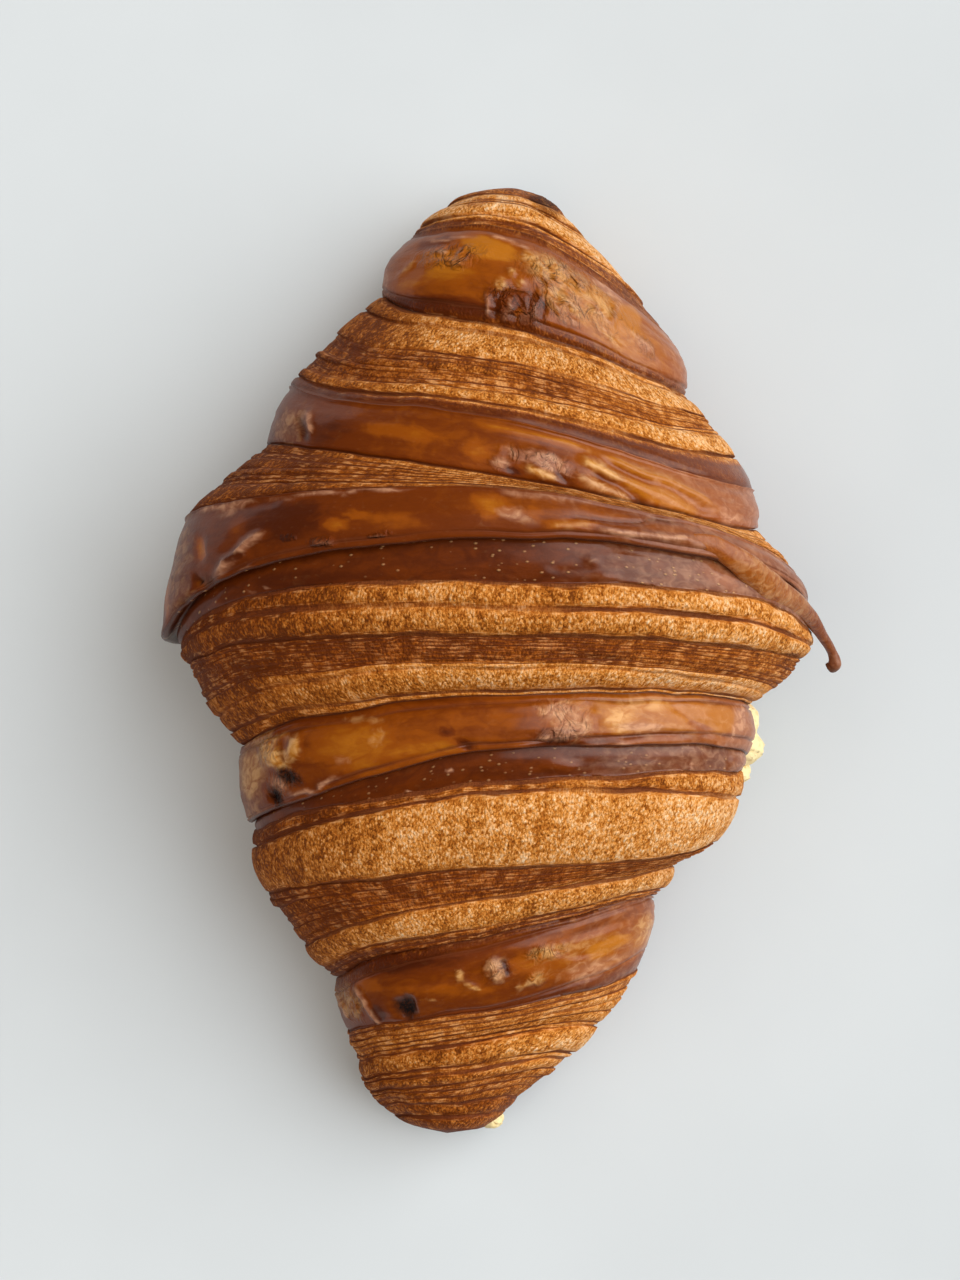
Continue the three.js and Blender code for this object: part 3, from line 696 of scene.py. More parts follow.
def turn_curve(angles, values, angle):
    """A smooth closed curve through values at given angles, read at an array of angles."""
    knots = np.array([*angles, angles[0] + TURN])
    before = np.array([angles[-1] - TURN, *angles[:-1]])
    values = np.array(values, float)
    slopes = (np.roll(values, -1) - np.roll(values, 1)) / (knots[1:] - before)
    i = np.searchsorted(knots, angle, side="right") - 1
    j = (i + 1) % len(values)
    span = knots[i + 1] - knots[i]
    t = (angle - knots[i]) / span
    t2, t3 = t * t, t * t * t
    ends = values[i] * (2 * t3 - 3 * t2 + 1) + values[j] * (3 * t2 - 2 * t3)
    return ends + slopes[i] * span * (t3 - 2 * t2 + t) + slopes[j] * span * (t3 - t2)


def seam_along(seam, angle):
    """Where a seam lies along Y at each angle."""
    angles = [0, QUARTER / 2, QUARTER, 1.5 * QUARTER, RIGHT_FLANK, 3 * QUARTER]
    along = seam["along"]
    return turn_curve(angles, [*along, (along[0] + along[4]) / 2], angle)


def share_curve(at, angle):
    """The share of the way across a face at each angle, from its value at three places."""
    left, crown, right = at
    angles = [0, QUARTER, RIGHT_FLANK, 3 * QUARTER]
    return turn_curve(angles, [left, crown, right, (left + right) / 2], angle)


def power(value, exponent):
    return np.sign(value) * np.abs(value) ** exponent


def seam_ring(name, angle, most_wander):
    """The points of a seam, and the way out of the dough at each."""
    seam = SEAMS[name]
    order = list(SEAMS).index(name)
    along = seam_along(seam, angle)
    wander = most_wander * rough_noise(seam["crown"] * angle / 12, 0.37, 300 + order)
    along = along + wander * relief_left(angle)
    level = WIDEST_LEVEL * seam["crown"]
    upper = angle <= RIGHT_FLANK
    half_width = np.where(np.cos(angle) > 0, seam["left"], seam["right"])
    underside = -BELLY_PRESS + TIP_LIFT * np.abs(along / NORTH_TIP[1]) ** 4
    half_height = np.where(upper, seam["crown"] - level, level - underside)
    fullness = np.where(upper, CROWN_FULLNESS, BELLY_FULLNESS)
    x = -half_width * power(np.cos(angle), 2 / fullness)
    rise = half_height * power(np.sin(angle), 2 / fullness)
    out = np.stack([x / half_width**2, 0 * x, rise / half_height**2], axis=-1)
    out /= np.linalg.norm(out, axis=-1, keepdims=True)
    return np.stack([x, along, level + rise], axis=-1), out


def column_angles():
    """The angles of the crust's columns, from the middle of the base round to it again."""
    left = np.linspace(-QUARTER, 0, COLUMNS_UNDER, endpoint=False)
    over = np.linspace(0, RIGHT_FLANK, COLUMNS_OVER, endpoint=False)
    right = np.linspace(RIGHT_FLANK, 3 * QUARTER, COLUMNS_UNDER, endpoint=False)
    return np.mod(np.concatenate([left, over, right]), TURN)


def relief_left(angle):
    """How much relief is left at each angle: all of it above, none in the middle of the base."""
    return np.where(angle <= RIGHT_FLANK, 1, (1 + np.sin(angle)) ** 2)


def face_lines(face, angle, arc, span, seed):
    """The lines across a face, its two edges among them, with their shares at each angle."""
    cut = face.get("wash", 0) < 0.5
    rim, crease = face.get("rim", 0), face.get("crease", 0)
    band = EDGE_BAND * cut
    # On a washed face an edge is painted dark only where it is a groove: painted shade.
    first = line(0, 0, 0, half=0.4, depth=-rim, dark=EDGE_DARK_AND_CREASE_SHADE * (cut or rim < 0), band=band)
    last = line(1, 1, 1, half=0.5, depth=crease, dark=EDGE_DARK_AND_CREASE_SHADE * (cut or crease > 0), band=band)
    made = []
    for i, mark in enumerate([first, *face.get("lines", []), last]):
        share = share_curve(mark["at"], angle)
        strength = np.clip(0.95 + 0.6 * noise(arc / 8, i * 3.1, seed + 40 + i), 0.3, 1.2)
        if mark is first or mark is last:
            strength = np.ones_like(arc)
        else:
            share = share + LINE_WANDER * rough_noise(arc / 11, i * 7.3, seed + i) / span
        dark = mark["dark"] * np.clip(strength, 0, 1)
        band = mark["band"] * np.clip(1 + 1.6 * noise(arc / 5, i * 4.7, seed + 90 + i), 0, 2.4)
        depth = mark["depth"] * strength
        made.append(dict(share=share, half=mark["half"], depth=depth, dark=dark, band=band))
    for before, after in zip(made, made[1:]):
        after["share"] = np.maximum(after["share"], before["share"] + LEAST_GAP)
    top = made[-1]["share"]
    for mark in made:
        mark["share"] = mark["share"] / top
    return made


def face_rows(face, angle, arc, span, seed, step_height):
    """The rows that cross a face.

    Each holds its share of the way across, how deep it lies below the face, how far it is in millimetres
    from the dark of the nearest line and how dark that line is.
    """
    lines = face_lines(face, angle, arc, span, seed)
    cut = face.get("wash", 0) < 0.5
    rows = []
    for k, (before, after) in enumerate(zip(lines, lines[1:])):
        gap = after["share"] - before["share"]
        width = gap * span
        step = step_height * cut * noise(arc / 9, k * 5.3, seed + 70) * np.minimum(width / 1.2, 1)
        step = step * (1 + STEP_AT_FLANKS * np.cos(angle) ** 4)
        puff = cut * LAYER_PUFF * np.minimum(width, WIDEST_PUFF)
        near = np.minimum(before["half"] / span, MOST_GROOVE * gap)
        far = np.minimum(after["half"] / span, MOST_GROOVE * gap)
        spacing = ROW_SPACING if cut else WASHED_ROW_SPACING
        narrow = np.median(width) < NARROW_LAYER
        inner = 1 if narrow else max(2, round(float(np.median(width)) / spacing))

        def add(share, depth, middle=False):
            t = 0.5 + 0 * share if middle else (share - before["share"]) / gap
            away = np.minimum(t * width - before["band"], (1 - t) * width - after["band"])
            away = np.maximum(away, NARROW_MIDDLE) if middle else away
            rows.append((share, depth, away, before["dark"] * (1 - t) + after["dark"] * t))

        add(before["share"], before["depth"])
        if not narrow:
            add(before["share"] + 0.5 * near, 0.55 * before["depth"] - 0.5 * step)
        for i in range(inner + 1):
            t = i / inner
            rise = 4 * t * (1 - t)
            share = (before["share"] + near) * (1 - t) + (after["share"] - far) * t
            add(share, -step - puff * (0.4 + 0.6 * rise), middle=narrow)
        if not narrow:
            add(after["share"] - 0.5 * far, 0.55 * after["depth"] - 0.5 * step)
    last = lines[-1]
    rows.append((last["share"], last["depth"], -last["band"], last["dark"]))
    return rows


def lip_edge(points, out):
    """The rounded free edge of a lip, turned under it."""
    turned = []
    for south, down in LIP_PROFILE:
        row = points - out * down
        row[:, 1] -= south
        turned.append(row)
    return turned


def mark_amount(mark, x, y, seed):
    """How strongly a mark shows at each place, from 0 to 1."""
    if "end" in mark:
        (x0, y0), (x1, y1) = mark["start"], mark["end"]
        length = math.hypot(x1 - x0, y1 - y0)
        t = ((x - x0) * (x1 - x0) + (y - y0) * (y1 - y0)) / length**2
        away = ((x - x0) * (y1 - y0) - (y - y0) * (x1 - x0)) / length
        away = away + 0.5 * noise(t * length / 3, 0.5, seed)
        return np.exp(-((away / mark["width"]) ** 2)) * smooth(4 * t) * smooth(4 * (1 - t))
    turn = math.radians(mark["turn"])
    dx, dy = x - mark["at"][0], y - mark["at"][1]
    u = (dx * math.cos(turn) + dy * math.sin(turn)) / mark["size"][0]
    v = (-dx * math.sin(turn) + dy * math.cos(turn)) / mark["size"][1]
    edge = 1 + 0.3 * rough_noise(u * 1.8, v * 1.8, seed)
    return np.exp(-(((u * u + v * v) / edge**2) ** 2.2))


def mark_effects(face, points, seed, wrinkle_height):
    """What a face's marks do at each point."""
    x, y = points[..., 0], points[..., 1]
    total = {name: 0 * x for name in ("lift", "wrinkle", "toast", "char", "pale", "film")}
    for i, mark in enumerate(face.get("marks", [])):
        amount = mark_amount(mark, x, y, seed + i)
        for name, value in mark["effects"].items():
            if name in ("lift", "toast"):
                total[name] = total[name] + amount * value
            else:
                total[name] = total[name] + (value - total[name]) * amount
    folds = 1 - 3 * np.abs(rough_noise(x / WRINKLE_SIZE[0], y / WRINKLE_SIZE[1], seed + 50))
    total["lift"] = total["lift"] + wrinkle_height * total["wrinkle"] * folds
    return total


def strip_tones(face, share, angle, span):
    """A face's own toast and wash, and those of its strips, at each point of a row."""
    toast = np.full_like(share, face["toast"])
    wash = np.full_like(share, face.get("wash", 0))
    for area in face.get("strips", []):
        start, end = share_curve(area["start"], angle), share_curve(area["end"], angle)
        soft = 0.5 / span
        inside = smooth((share - start) / soft) * smooth((end - share) / soft)
        toast = toast * (1 - inside) + area["toast"] * inside
        wash = wash * (1 - inside) + area["wash"] * inside
    return toast, wash


def face_grid(face, index, angle, lip, relief):
    """The rows of points of one face, each with what the shader needs at each point."""
    start, start_out = seam_ring(face["start"], angle, relief["seam_wander"])
    end, end_out = seam_ring(face["end"], angle, relief["seam_wander"])
    left_over = relief_left(angle)
    if "under" in face:
        depth, reach = face["under"]
        start = start - start_out * (depth * left_over)[:, None]
        start[:, 1] += reach * left_over
    middle = (start + end) / 2
    steps = np.linalg.norm(np.diff(middle, axis=0, append=middle[:1]), axis=1)
    arc = np.concatenate([[0], np.cumsum(steps)[:-1]])
    span = np.maximum(np.linalg.norm(end - start, axis=1), LEAST_SPAN)
    seed = 100 * (index + 1)
    washed = face.get("wash", 0) > 0.5
    grid = []
    if "under" in face:
        for row in lip_edge(lip, start_out):
            grid.append((row, point_values(arc, -0.5, index, LIP_TOAST, face["wash"], face)))
    for share, depth, away, dark in face_rows(face, angle, arc, span, seed, relief["step_height"]):
        share = np.clip(share, 0, 1)
        point = start * (1 - share)[:, None] + end * share[:, None]
        out = start_out * (1 - share)[:, None] + end_out * share[:, None]
        out /= np.linalg.norm(out, axis=1, keepdims=True)
        across = share * span
        swell = face["bulge"] * 4 * share * (1 - share) - depth
        if washed:
            swell = swell + WASHED_WAVE * rough_noise(arc / 16, across / 4, seed + 60)
            swell = swell + RIPPLE * noise(arc / 14, across / 0.9, seed + 64)
        else:
            swell = swell + RIPPLE * rough_noise(arc / 2.6, across / 3, seed + 60)
        toast, wash = strip_tones(face, share, angle, span)
        # Painted side shading: the left side is painted darker, as painted shade, and the right lighter, as
        # painted light.
        left_shade, right_light = SIDE_SHADING["washed" if washed else "cut"]
        toast = toast + left_shade * smooth((-point[:, 0] - SIDE_START) / SIDE_REACH)
        toast = toast + right_light * smooth((point[:, 0] - SIDE_START) / SIDE_REACH)
        toast = np.minimum(toast, MOST_TOAST)
        values = point_values(arc, across, index, toast, wash, face)
        values["away"] = away
        values["dark"] = dark
        effects = mark_effects(face, point, seed + 500, relief["wrinkle_height"])
        values["toast"] = values["toast"] + effects["toast"]
        for name in ("wrinkle", "char", "pale", "film"):
            values[name] = effects[name]
        values["gloss"] = 1 - SHADY_GLOSS * smooth((-out[:, 0] - SHADY_START) / SHADY_REACH)
        # On the washed faces, dull skin is painted towards the right as painted sheen.
        if washed:
            dry = SIDE_SHEEN + BUBBLY_SHEEN * face.get("bubbly", 0)
            dry = dry * smooth((point[:, 0] - SHEEN_START) / SHEEN_REACH)
            values["film"] = np.maximum(values["film"], dry * (1 - np.minimum(values["pale"] * 2, 1)))
        point = point + out * ((swell + effects["lift"]) * left_over)[:, None]
        grid.append((point, values))
    return grid


def point_values(arc, across, index, toast, wash, face):
    """The shader's values along one row, with no lines or marks yet."""
    ones = np.ones_like(arc)
    return dict(
        wash=wash * ones,
        toast=toast * ones,
        away=FAR_FROM_LINES * ones,
        dark=0 * ones,
        wrinkle=0 * ones,
        char=0 * ones,
        pale=0 * ones,
        film=0 * ones,
        bubbly=face.get("bubbly", 0) * ones,
        gloss=ones,
        place=np.stack([arc, across * ones, TEXTURE_SHIFT * index * ones], axis=-1),
    )


def crust_grid(relief):
    """All the crust's rows of points from the north tip to the south tip, with the shader's values."""
    angle = column_angles()
    grid = []
    for index, face in enumerate(FACES):
        lip = grid[-1][0] if grid else None
        grid += face_grid(face, index, angle, lip, relief)
    return grid


def grid_faces(rows, columns):
    """The faces of a closed tube of rows with a pole at each end, wound outwards."""
    faces = []
    last = rows * columns + 1
    for c in range(columns):
        d = (c + 1) % columns
        faces.append((0, 1 + c, 1 + d))
        base = 1 + (rows - 1) * columns
        faces.append((last, base + d, base + c))
    row_starts = 1 + columns * np.arange(rows - 1)[:, None]
    c = np.arange(columns)[None, :]
    d = (c + 1) % columns
    quads = np.stack(
        [row_starts + c, row_starts + columns + c, row_starts + columns + d, row_starts + d], axis=-1
    )
    return faces + quads.reshape(-1, 4).tolist()


def new_piece(name, points, faces, material, replaces=None):
    """A mesh object in metres from points in millimetres, riding on the croissant."""
    mesh = bpy.data.meshes.new(name)
    mesh.from_pydata((np.asarray(points) * MM).tolist(), [], faces)
    mesh.validate()
    mesh.shade_smooth()
    mesh.materials.append(material)
    piece = bpy.data.objects.new(name, mesh)
    bpy.context.scene.collection.objects.link(piece)
    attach(piece, "root")
    if replaces:
        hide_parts(replaces)
    return piece


def set_values(piece, values):
    """Stores the shader's values on the points of a piece."""
    for name, data in values.items():
        data = np.asarray(data, np.float32)
        if data.ndim == 2:
            layer = piece.data.attributes.new(name, "FLOAT_VECTOR", "POINT")
            layer.data.foreach_set("vector", data.ravel())
        else:
            layer = piece.data.attributes.new(name, "FLOAT", "POINT")
            layer.data.foreach_set("value", data)


def keep_in_box(points):
    """Points in millimetres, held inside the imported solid's box."""
    low, high = (np.array(corner) / MM for corner in CAD_BOX)
    return np.clip(points, low, high)


class Nodes:
    """Short calls for building one material's node tree."""

    def __init__(self, tree):
        self.tree = tree

    def add(self, kind, **settings):
        node = self.tree.nodes.new(kind)
        for key, value in settings.items():
            setattr(node, key, value)
        return node

    def put(self, socket, value):
        if isinstance(value, bpy.types.NodeSocket):
            self.tree.links.new(value, socket)
        else:
            socket.default_value = value

    def math(self, operation, a, b=0.0, clamp=False):
        node = self.add("ShaderNodeMath", operation=operation, use_clamp=clamp)
        self.put(node.inputs[0], a)
        self.put(node.inputs[1], b)
        return node.outputs[0]

    def times(self, a, b, clamp=False):
        return self.math("MULTIPLY", a, b, clamp)

    def total(self, *parts):
        """The sum of values, each times its weight."""
        made = None
        for value, weight in parts:
            part = value if weight == 1 else self.times(value, weight)
            made = part if made is None else self.math("ADD", made, part)
        return made

    def ridges(self, value):
        """Sharp ridges where a noise from 0 to 1 crosses its middle."""
        off = self.math("ABSOLUTE", self.math("SUBTRACT", value, 0.5))
        return self.math("SUBTRACT", 1.0, self.times(off, 5.0), clamp=True)

    def red(self, colour):
        node = self.add("ShaderNodeSeparateColor")
        self.put(node.inputs[0], colour)
        return node.outputs[0]

    def mix(self, share, a, b, blend="MIX"):
        node = self.add("ShaderNodeMix", data_type="RGBA", blend_type=blend)
        self.put(node.inputs[0], share)
        self.put(node.inputs[6], a)
        self.put(node.inputs[7], b)
        return node.outputs[2]

    def ramp(self, value, stops):
        node = self.add("ShaderNodeValToRGB")
        ramp = node.color_ramp
        ramp.interpolation = "EASE"
        while len(ramp.elements) < len(stops):
            ramp.elements.new(0.5)
        for element, (position, colour) in zip(ramp.elements, stops):
            element.position = position
            element.color = colour
        self.put(node.inputs[0], value)
        return node.outputs[0]

    def reach(self, value, low, high, to_low=0.0, to_high=1.0):
        node = self.add("ShaderNodeMapRange", clamp=True)
        for socket, number in zip(node.inputs, (value, low, high, to_low, to_high)):
            self.put(socket, number)
        return node.outputs[0]

    def value(self, name, output="Fac"):
        return self.add("ShaderNodeAttribute", attribute_name=name).outputs[output]

    def stretched(self, vector, scale):
        node = self.add("ShaderNodeVectorMath", operation="MULTIPLY")
        self.put(node.inputs[0], vector)
        node.inputs[1].default_value = scale
        return node.outputs[0]

    def noise(self, vector, scale, detail=3.0, roughness=0.55, distortion=0.0):
        node = self.add("ShaderNodeTexNoise")
        self.put(node.inputs["Vector"], vector)
        node.inputs["Scale"].default_value = scale
        node.inputs["Detail"].default_value = detail
        node.inputs["Roughness"].default_value = roughness
        node.inputs["Distortion"].default_value = distortion
        return node.outputs["Fac"]

    def cells(self, vector, scale, output="Distance"):
        node = self.add("ShaderNodeTexVoronoi")
        self.put(node.inputs["Vector"], vector)
        node.inputs["Scale"].default_value = scale
        return node.outputs[output]

    def some_cells(self, vector, scale, low, high):
        """1 in some of the cells and 0 in the others, by their random shade."""
        return self.reach(self.red(self.cells(vector, scale, "Color")), low, high)

    def bump(self, height, distance):
        node = self.add("ShaderNodeBump")
        node.inputs["Strength"].default_value = 1.0
        node.inputs["Distance"].default_value = distance
        self.put(node.inputs["Height"], height)
        return node.outputs[0]


def new_material(name):
    material = bpy.data.materials.new(name)
    material.use_nodes = True
    return material, Nodes(material.node_tree), material.node_tree.nodes["Principled BSDF"]


def cut_crust(n, looks, place, toast):
    """The colour of the cut faces, with the noises and the grain's height that other parts share."""
    scale = looks.grain_scale
    fine = n.noise(n.stretched(place, (2.8, 1.8, 1)), scale, 4, 0.6, 0.2)
    grain_place = n.stretched(place, (2.3, 1.4, 1))
    grain = n.reach(n.cells(grain_place, scale), 0.0, 0.75, 1, 0)
    grain_shade = n.red(n.cells(grain_place, scale, "Color"))
    fleck_shade = n.red(n.cells(n.stretched(place, (3.8, 2.6, 1)), scale, "Color"))
    clusters = n.noise(n.stretched(place, (0.5, 0.32, 1)), 1.0, 3, 0.55, 0.3)
    patches = n.noise(n.stretched(place, (0.12, 0.16, 1)), 1.0, 2)
    grains = n.total((grain, 0.14), (grain_shade, 0.22), (fleck_shade, 0.16), (fine, 0.65))

    # Beside the layer lines the grain runs along the layers
    fibres = n.noise(n.stretched(place, (0.55, 3.2, 1)), scale, 3, 0.6, 0.2)
    by_line = n.times(n.reach(n.value("away"), 0.9, 0.42), n.value("dark"), clamp=True)
    by_line = n.times(by_line, 0.85)
    fibrous = n.math("SUBTRACT", n.total((fibres, 1.1), (0.5, 0.03)), grains)
    grains = n.math("ADD", grains, n.times(by_line, fibrous))

    tone = n.total((grains, 1), (clusters, 0.5), (patches, 0.36), (toast, -0.32), (0.5, -0.88))
    colour = n.ramp(
        tone,
        [
            (0.26, (*looks.crevice, 1)),
            (0.42, (*looks.brown_grain, 1)),
            (0.55, (*looks.golden, 1)),
            (0.7, (*looks.straw, 1)),
            (0.86, (*looks.pale_flake, 1)),
        ],
    )
    pore_place = n.stretched(place, (1.15, 0.95, 1))
    pores = n.reach(n.cells(pore_place, scale), 0.22, 0.08)
    pores = n.times(pores, n.some_cells(pore_place, scale, 0.5, 0.55))
    colour = n.mix(n.times(pores, 0.6), colour, (*looks.crevice, 1))
    colour = n.mix(n.times(toast, 0.85, clamp=True), colour, (*looks.toasting, 1), "MULTIPLY")

    height = n.times(n.total((grain, 0.5), (fine, 0.9)), n.math("SUBTRACT", 1.0, by_line))
    height = n.math("ADD", height, n.times(fibres, by_line))
    return colour, height, dict(fine=fine, fibres=fibres, clusters=clusters)


def washed_crust(n, looks, place, toast):
    """The colour of the washed faces, clouded and streaked along them."""
    streaks = n.noise(n.stretched(place, (0.08, 0.6, 1)), 1.0, 2, 0.5)
    clouds = n.noise(n.stretched(place, (0.25, 0.4, 1)), 1.0, 3, 0.5, 0.4)
    clear = n.reach(clouds, 0.46, 0.62)
    tone = n.total((toast, 1), (streaks, 0.25), (clouds, 0.6), (clear, -0.2), (0.5, -0.6))
    return n.ramp(
        tone,
        [
            (0.0, (*looks.honey, 1)),
            (0.32, (*looks.amber, 1)),
            (0.62, (*looks.chestnut, 1)),
            (0.95, (*looks.mahogany, 1)),
        ],
    )


def layer_lines(n, looks, colour, noises, wash, toast):
    """The dark lines between layers over a colour, with browned halos and, beside them, pale painted
    glints.
    """
    fibres = noises["fibres"]
    away = n.total((n.value("away"), 1), (noises["fine"], 0.12), (fibres, 0.24), (0.5, -0.36))
    dark = n.value("dark")
    halo = n.times(n.reach(away, 1.1, 0.1), n.times(dark, 0.7))
    colour = n.mix(halo, colour, (*looks.halo, 1), "MULTIPLY")
    in_line = n.times(n.reach(away, 0.35, 0.1), dark)
    colour = n.mix(in_line, colour, (*looks.layer_line, 1))
    # Beside each line, pale streaks along the fibres: partly pale layers, partly painted glints.
    beside = n.times(n.reach(away, 0.2, 0.4), n.reach(away, 0.8, 0.5))
    light = n.reach(n.math("ADD", fibres, noises["clusters"]), 1.02, 1.2)
    beside = n.times(n.times(beside, dark), light)
    paler = n.times(n.reach(wash, 0, 1, 1, 0), n.reach(toast, 0.3, 0.9, 0.5, 0.36))
    return n.mix(n.times(beside, paler), colour, (*looks.straw, 1))


def dried_skins(n, looks, colour, place, film):
    """Thin honey skin, and dull skin that is dry skin and painted sheen, over a colour, with uneven edges.
    """
    pale = n.value("pale")
    skin = n.noise(n.stretched(place, (0.55, 0.75, 1)), 1.0, 2, 0.5, 0.9)
    thin = n.mix(n.reach(skin, 0.35, 0.6), (*looks.thin_shade, 1), (*looks.thin_skin, 1))
    thin_edge = n.reach(n.total((pale, 1), (skin, 0.8), (0.5, -0.8)), 0.1, 0.65)
    colour = n.mix(n.times(thin_edge, n.reach(pale, 0, 0.9, 0.1, 0.9)), colour, thin)
    dull_and_sheen = n.mix(n.reach(skin, 0.4, 0.65), (*looks.dull_skin_and_sheen_dark, 1), (*looks.dull_skin_and_sheen, 1))
    dull_and_sheen_edge = n.reach(n.total((film, 1), (skin, 0.5), (0.5, -0.5)), 0.1, 0.65)
    return n.mix(n.times(dull_and_sheen_edge, n.reach(film, 0, 0.9, 0.1, 0.85)), colour, dull_and_sheen)


def small_bubbles(n, place):
    """Where the small bubbles stand, few on most faces and many on the bubbly ones."""
    bubble_place = n.stretched(place, (0.8, 1.2, 1))
    bubble = n.reach(n.cells(bubble_place, 1.0), 0.28, 0.08)
    bubble = n.times(bubble, n.some_cells(bubble_place, 1.0, 0.55, 0.59))
    return n.times(bubble, n.reach(n.value("bubbly"), 0, 1, 0.04, 1))


def crust_material(looks):
    """Washed and cut crust in one material, told apart by the values stored on the points."""
    material, n, shader = new_material("baked_crust")
    place = n.value("place", "Vector")
    wash = n.value("wash")
    # toast is the baking's darkness together with the painted side shade and painted light.
    toast = n.value("toast")
    film = n.value("film")

    cut, cut_height, noises = cut_crust(n, looks, place, toast)
    colour = n.mix(wash, cut, washed_crust(n, looks, place, toast))
    colour = layer_lines(n, looks, colour, noises, wash, toast)
    colour = dried_skins(n, looks, colour, place, film)
    bubble = small_bubbles(n, place)
    # Bubbles are painted straw: partly the paler skin of a blister, partly painted glints.
    colour = n.mix(n.times(n.times(bubble, 0.4), wash), colour, (*looks.straw, 1))
    burnt = n.times(n.value("char"), n.reach(noises["fine"], 0.3, 0.65, 1.3, 0.75), clamp=True)
    colour = n.mix(burnt, colour, (*looks.char, 1))
    n.put(shader.inputs["Base Color"], colour)

    n.put(shader.inputs["Roughness"], n.reach(wash, 0, 1, 0.7, 0.45))
    glossy = n.times(n.reach(burnt, 0, 1, 0.5, 0.02), n.reach(film, 0, 1, 1, 0.5))
    glossy = n.times(glossy, n.value("gloss"))
    n.put(shader.inputs["Coat Weight"], n.times(wash, glossy))
    shader.inputs["Coat Roughness"].default_value = 0.1
    shader.inputs["Specular IOR Level"].default_value = 0.1

    cut_height = n.times(cut_height, n.math("SUBTRACT", 1.0, wash))
    wrinkles = n.noise(n.stretched(place, (0.5, 0.34, 1)), 1.0, 2, 0.5, 1.2)
    wrinkles = n.times(n.ridges(wrinkles), n.value("wrinkle"))
    leathery = n.noise(n.stretched(place, (0.5, 1.0, 1)), 1.2, 4, 0.6)
    wash_height = n.times(n.total((leathery, 0.18), (bubble, 0.3), (wrinkles, 1.6)), wash)
    height = n.total((cut_height, 1), (wash_height, 1))
    n.put(shader.inputs["Normal"], n.bump(height, looks.bump_height))
    return material


def crumb_material(looks):
    """Soft pale crumb with small holes."""
    material, n, shader = new_material("pale_crumb")
    where = n.add("ShaderNodeTexCoord").outputs["Object"]
    holes = n.cells(where, CRUMB_HOLES)
    cloud = n.noise(where, CRUMB_CLOUDS, 3)
    tone = n.total((n.reach(holes, 0.0, 0.5), 0.5), (cloud, 0.6))
    colour = n.ramp(tone, [(0.25, (*looks.crumb_shade, 1)), (0.75, (*looks.crumb, 1))])
    n.put(shader.inputs["Base Color"], colour)
    shader.inputs["Roughness"].default_value = 0.7
    n.put(shader.inputs["Normal"], n.bump(tone, looks.bump_height))
    return material


def floor_material(colour):
    material, n, shader = new_material("pale_floor")
    where = n.add("ShaderNodeTexCoord").outputs["Object"]
    cloud = n.noise(where, FLOOR_CLOUDS, 3)
    deeper = (*(0.97 * part for part in colour), 1)
    n.put(shader.inputs["Base Color"], n.ramp(cloud, [(0.3, deeper), (0.7, (*colour, 1))]))
    shader.inputs["Roughness"].default_value = 0.9
    return material


def colour_property(name, description, default):
    return bpy.props.FloatVectorProperty(
        name=name, description=description, default=default, subtype="COLOR", size=3, min=0, max=1
    )


def height_property(name, description, millimetres):
    return bpy.props.FloatProperty(
        name=name, description=description, default=millimetres * MM, min=0, max=3 * MM, unit="LENGTH"
    )


class CroissantRelief(bpy.types.PropertyGroup):
    """Heights of the crust's relief"""

    seam_wander: height_property("Seam wander", "How far a seam strays along the croissant", 0.5)
    step_height: height_property("Step height", "How far the layers of a cut face step in and out", 0.4)
    wrinkle_height: height_property("Wrinkle height", "Height of the crumple on blisters", 0.45)

    def in_millimetres(self):
        return {name: round(getattr(self, name) / MM, 4) for name in self.__annotations__}


class CroissantLooks(bpy.types.PropertyGroup):
    """Colours and textures of the crust and crumb"""

    honey: colour_property("Honey", "Lightest washed crust", (0.4, 0.13, 0.006))
    amber: colour_property("Amber", "Washed crust", (0.26, 0.06, 0.0015))
    chestnut: colour_property("Chestnut", "Well baked washed crust", (0.14, 0.026, 0.0012))
    mahogany: colour_property("Mahogany", "Darkest washed crust", (0.07, 0.012, 0.0015))
    crevice: colour_property("Crevice", "Deep between the grains of a cut face", (0.21, 0.055, 0.005))
    brown_grain: colour_property("Brown grain", "Dark grains of a cut face", (0.47, 0.145, 0.014))
    golden: colour_property("Golden", "Cut face", (0.75, 0.305, 0.058))
    # Straw is also painted on bubbles and beside lines as painted glints.
    straw: colour_property("Straw", "Light grains of a cut face", (0.92, 0.51, 0.22))
    pale_flake: colour_property("Pale flake", "Lightest grains of a cut face", (0.98, 0.72, 0.45))
    # Toasting also tints the painted shade on the left of the cut faces.
    toasting: colour_property("Toasting", "What baking takes from the cut face's colour", (0.52, 0.32, 0.1))
    halo: colour_property("Halo", "What baking takes from the colour beside a line", (0.66, 0.5, 0.36))
    layer_line: colour_property("Layer line", "Dark dough edges between layers", (0.14, 0.036, 0.012))
    thin_skin: colour_property("Thin skin", "Thin honey skin over a bubble", (0.74, 0.42, 0.15))
    thin_shade: colour_property("Thin skin shade", "Thicker honey skin", (0.5, 0.2, 0.025))
    # The dull skin colours are also the colours of the painted sheen and painted highlights.
    dull_skin_and_sheen: colour_property("Dull skin", "Dry skin of a blister or rim", (0.62, 0.33, 0.19))
    dull_skin_and_sheen_dark: colour_property("Dull skin shade", "Creases of dry skin", (0.36, 0.16, 0.09))
    char: colour_property("Char", "Burnt spots", (0.008, 0.006, 0.006))
    crumb: colour_property("Crumb", "Pale crumb", (0.88, 0.72, 0.38))
    crumb_shade: colour_property("Crumb shade", "Holes in the crumb", (0.8, 0.58, 0.22))
    grain_scale: bpy.props.FloatProperty(
        name="Grain scale", description="Fineness of the grain of a cut face", default=1.0, min=0.1, max=5
    )
    bump_height: bpy.props.FloatProperty(
        name="Grain height",
        description="Height of the grain",
        default=0.6 * MM,
        min=0,
        max=3 * MM,
        unit="LENGTH",
    )


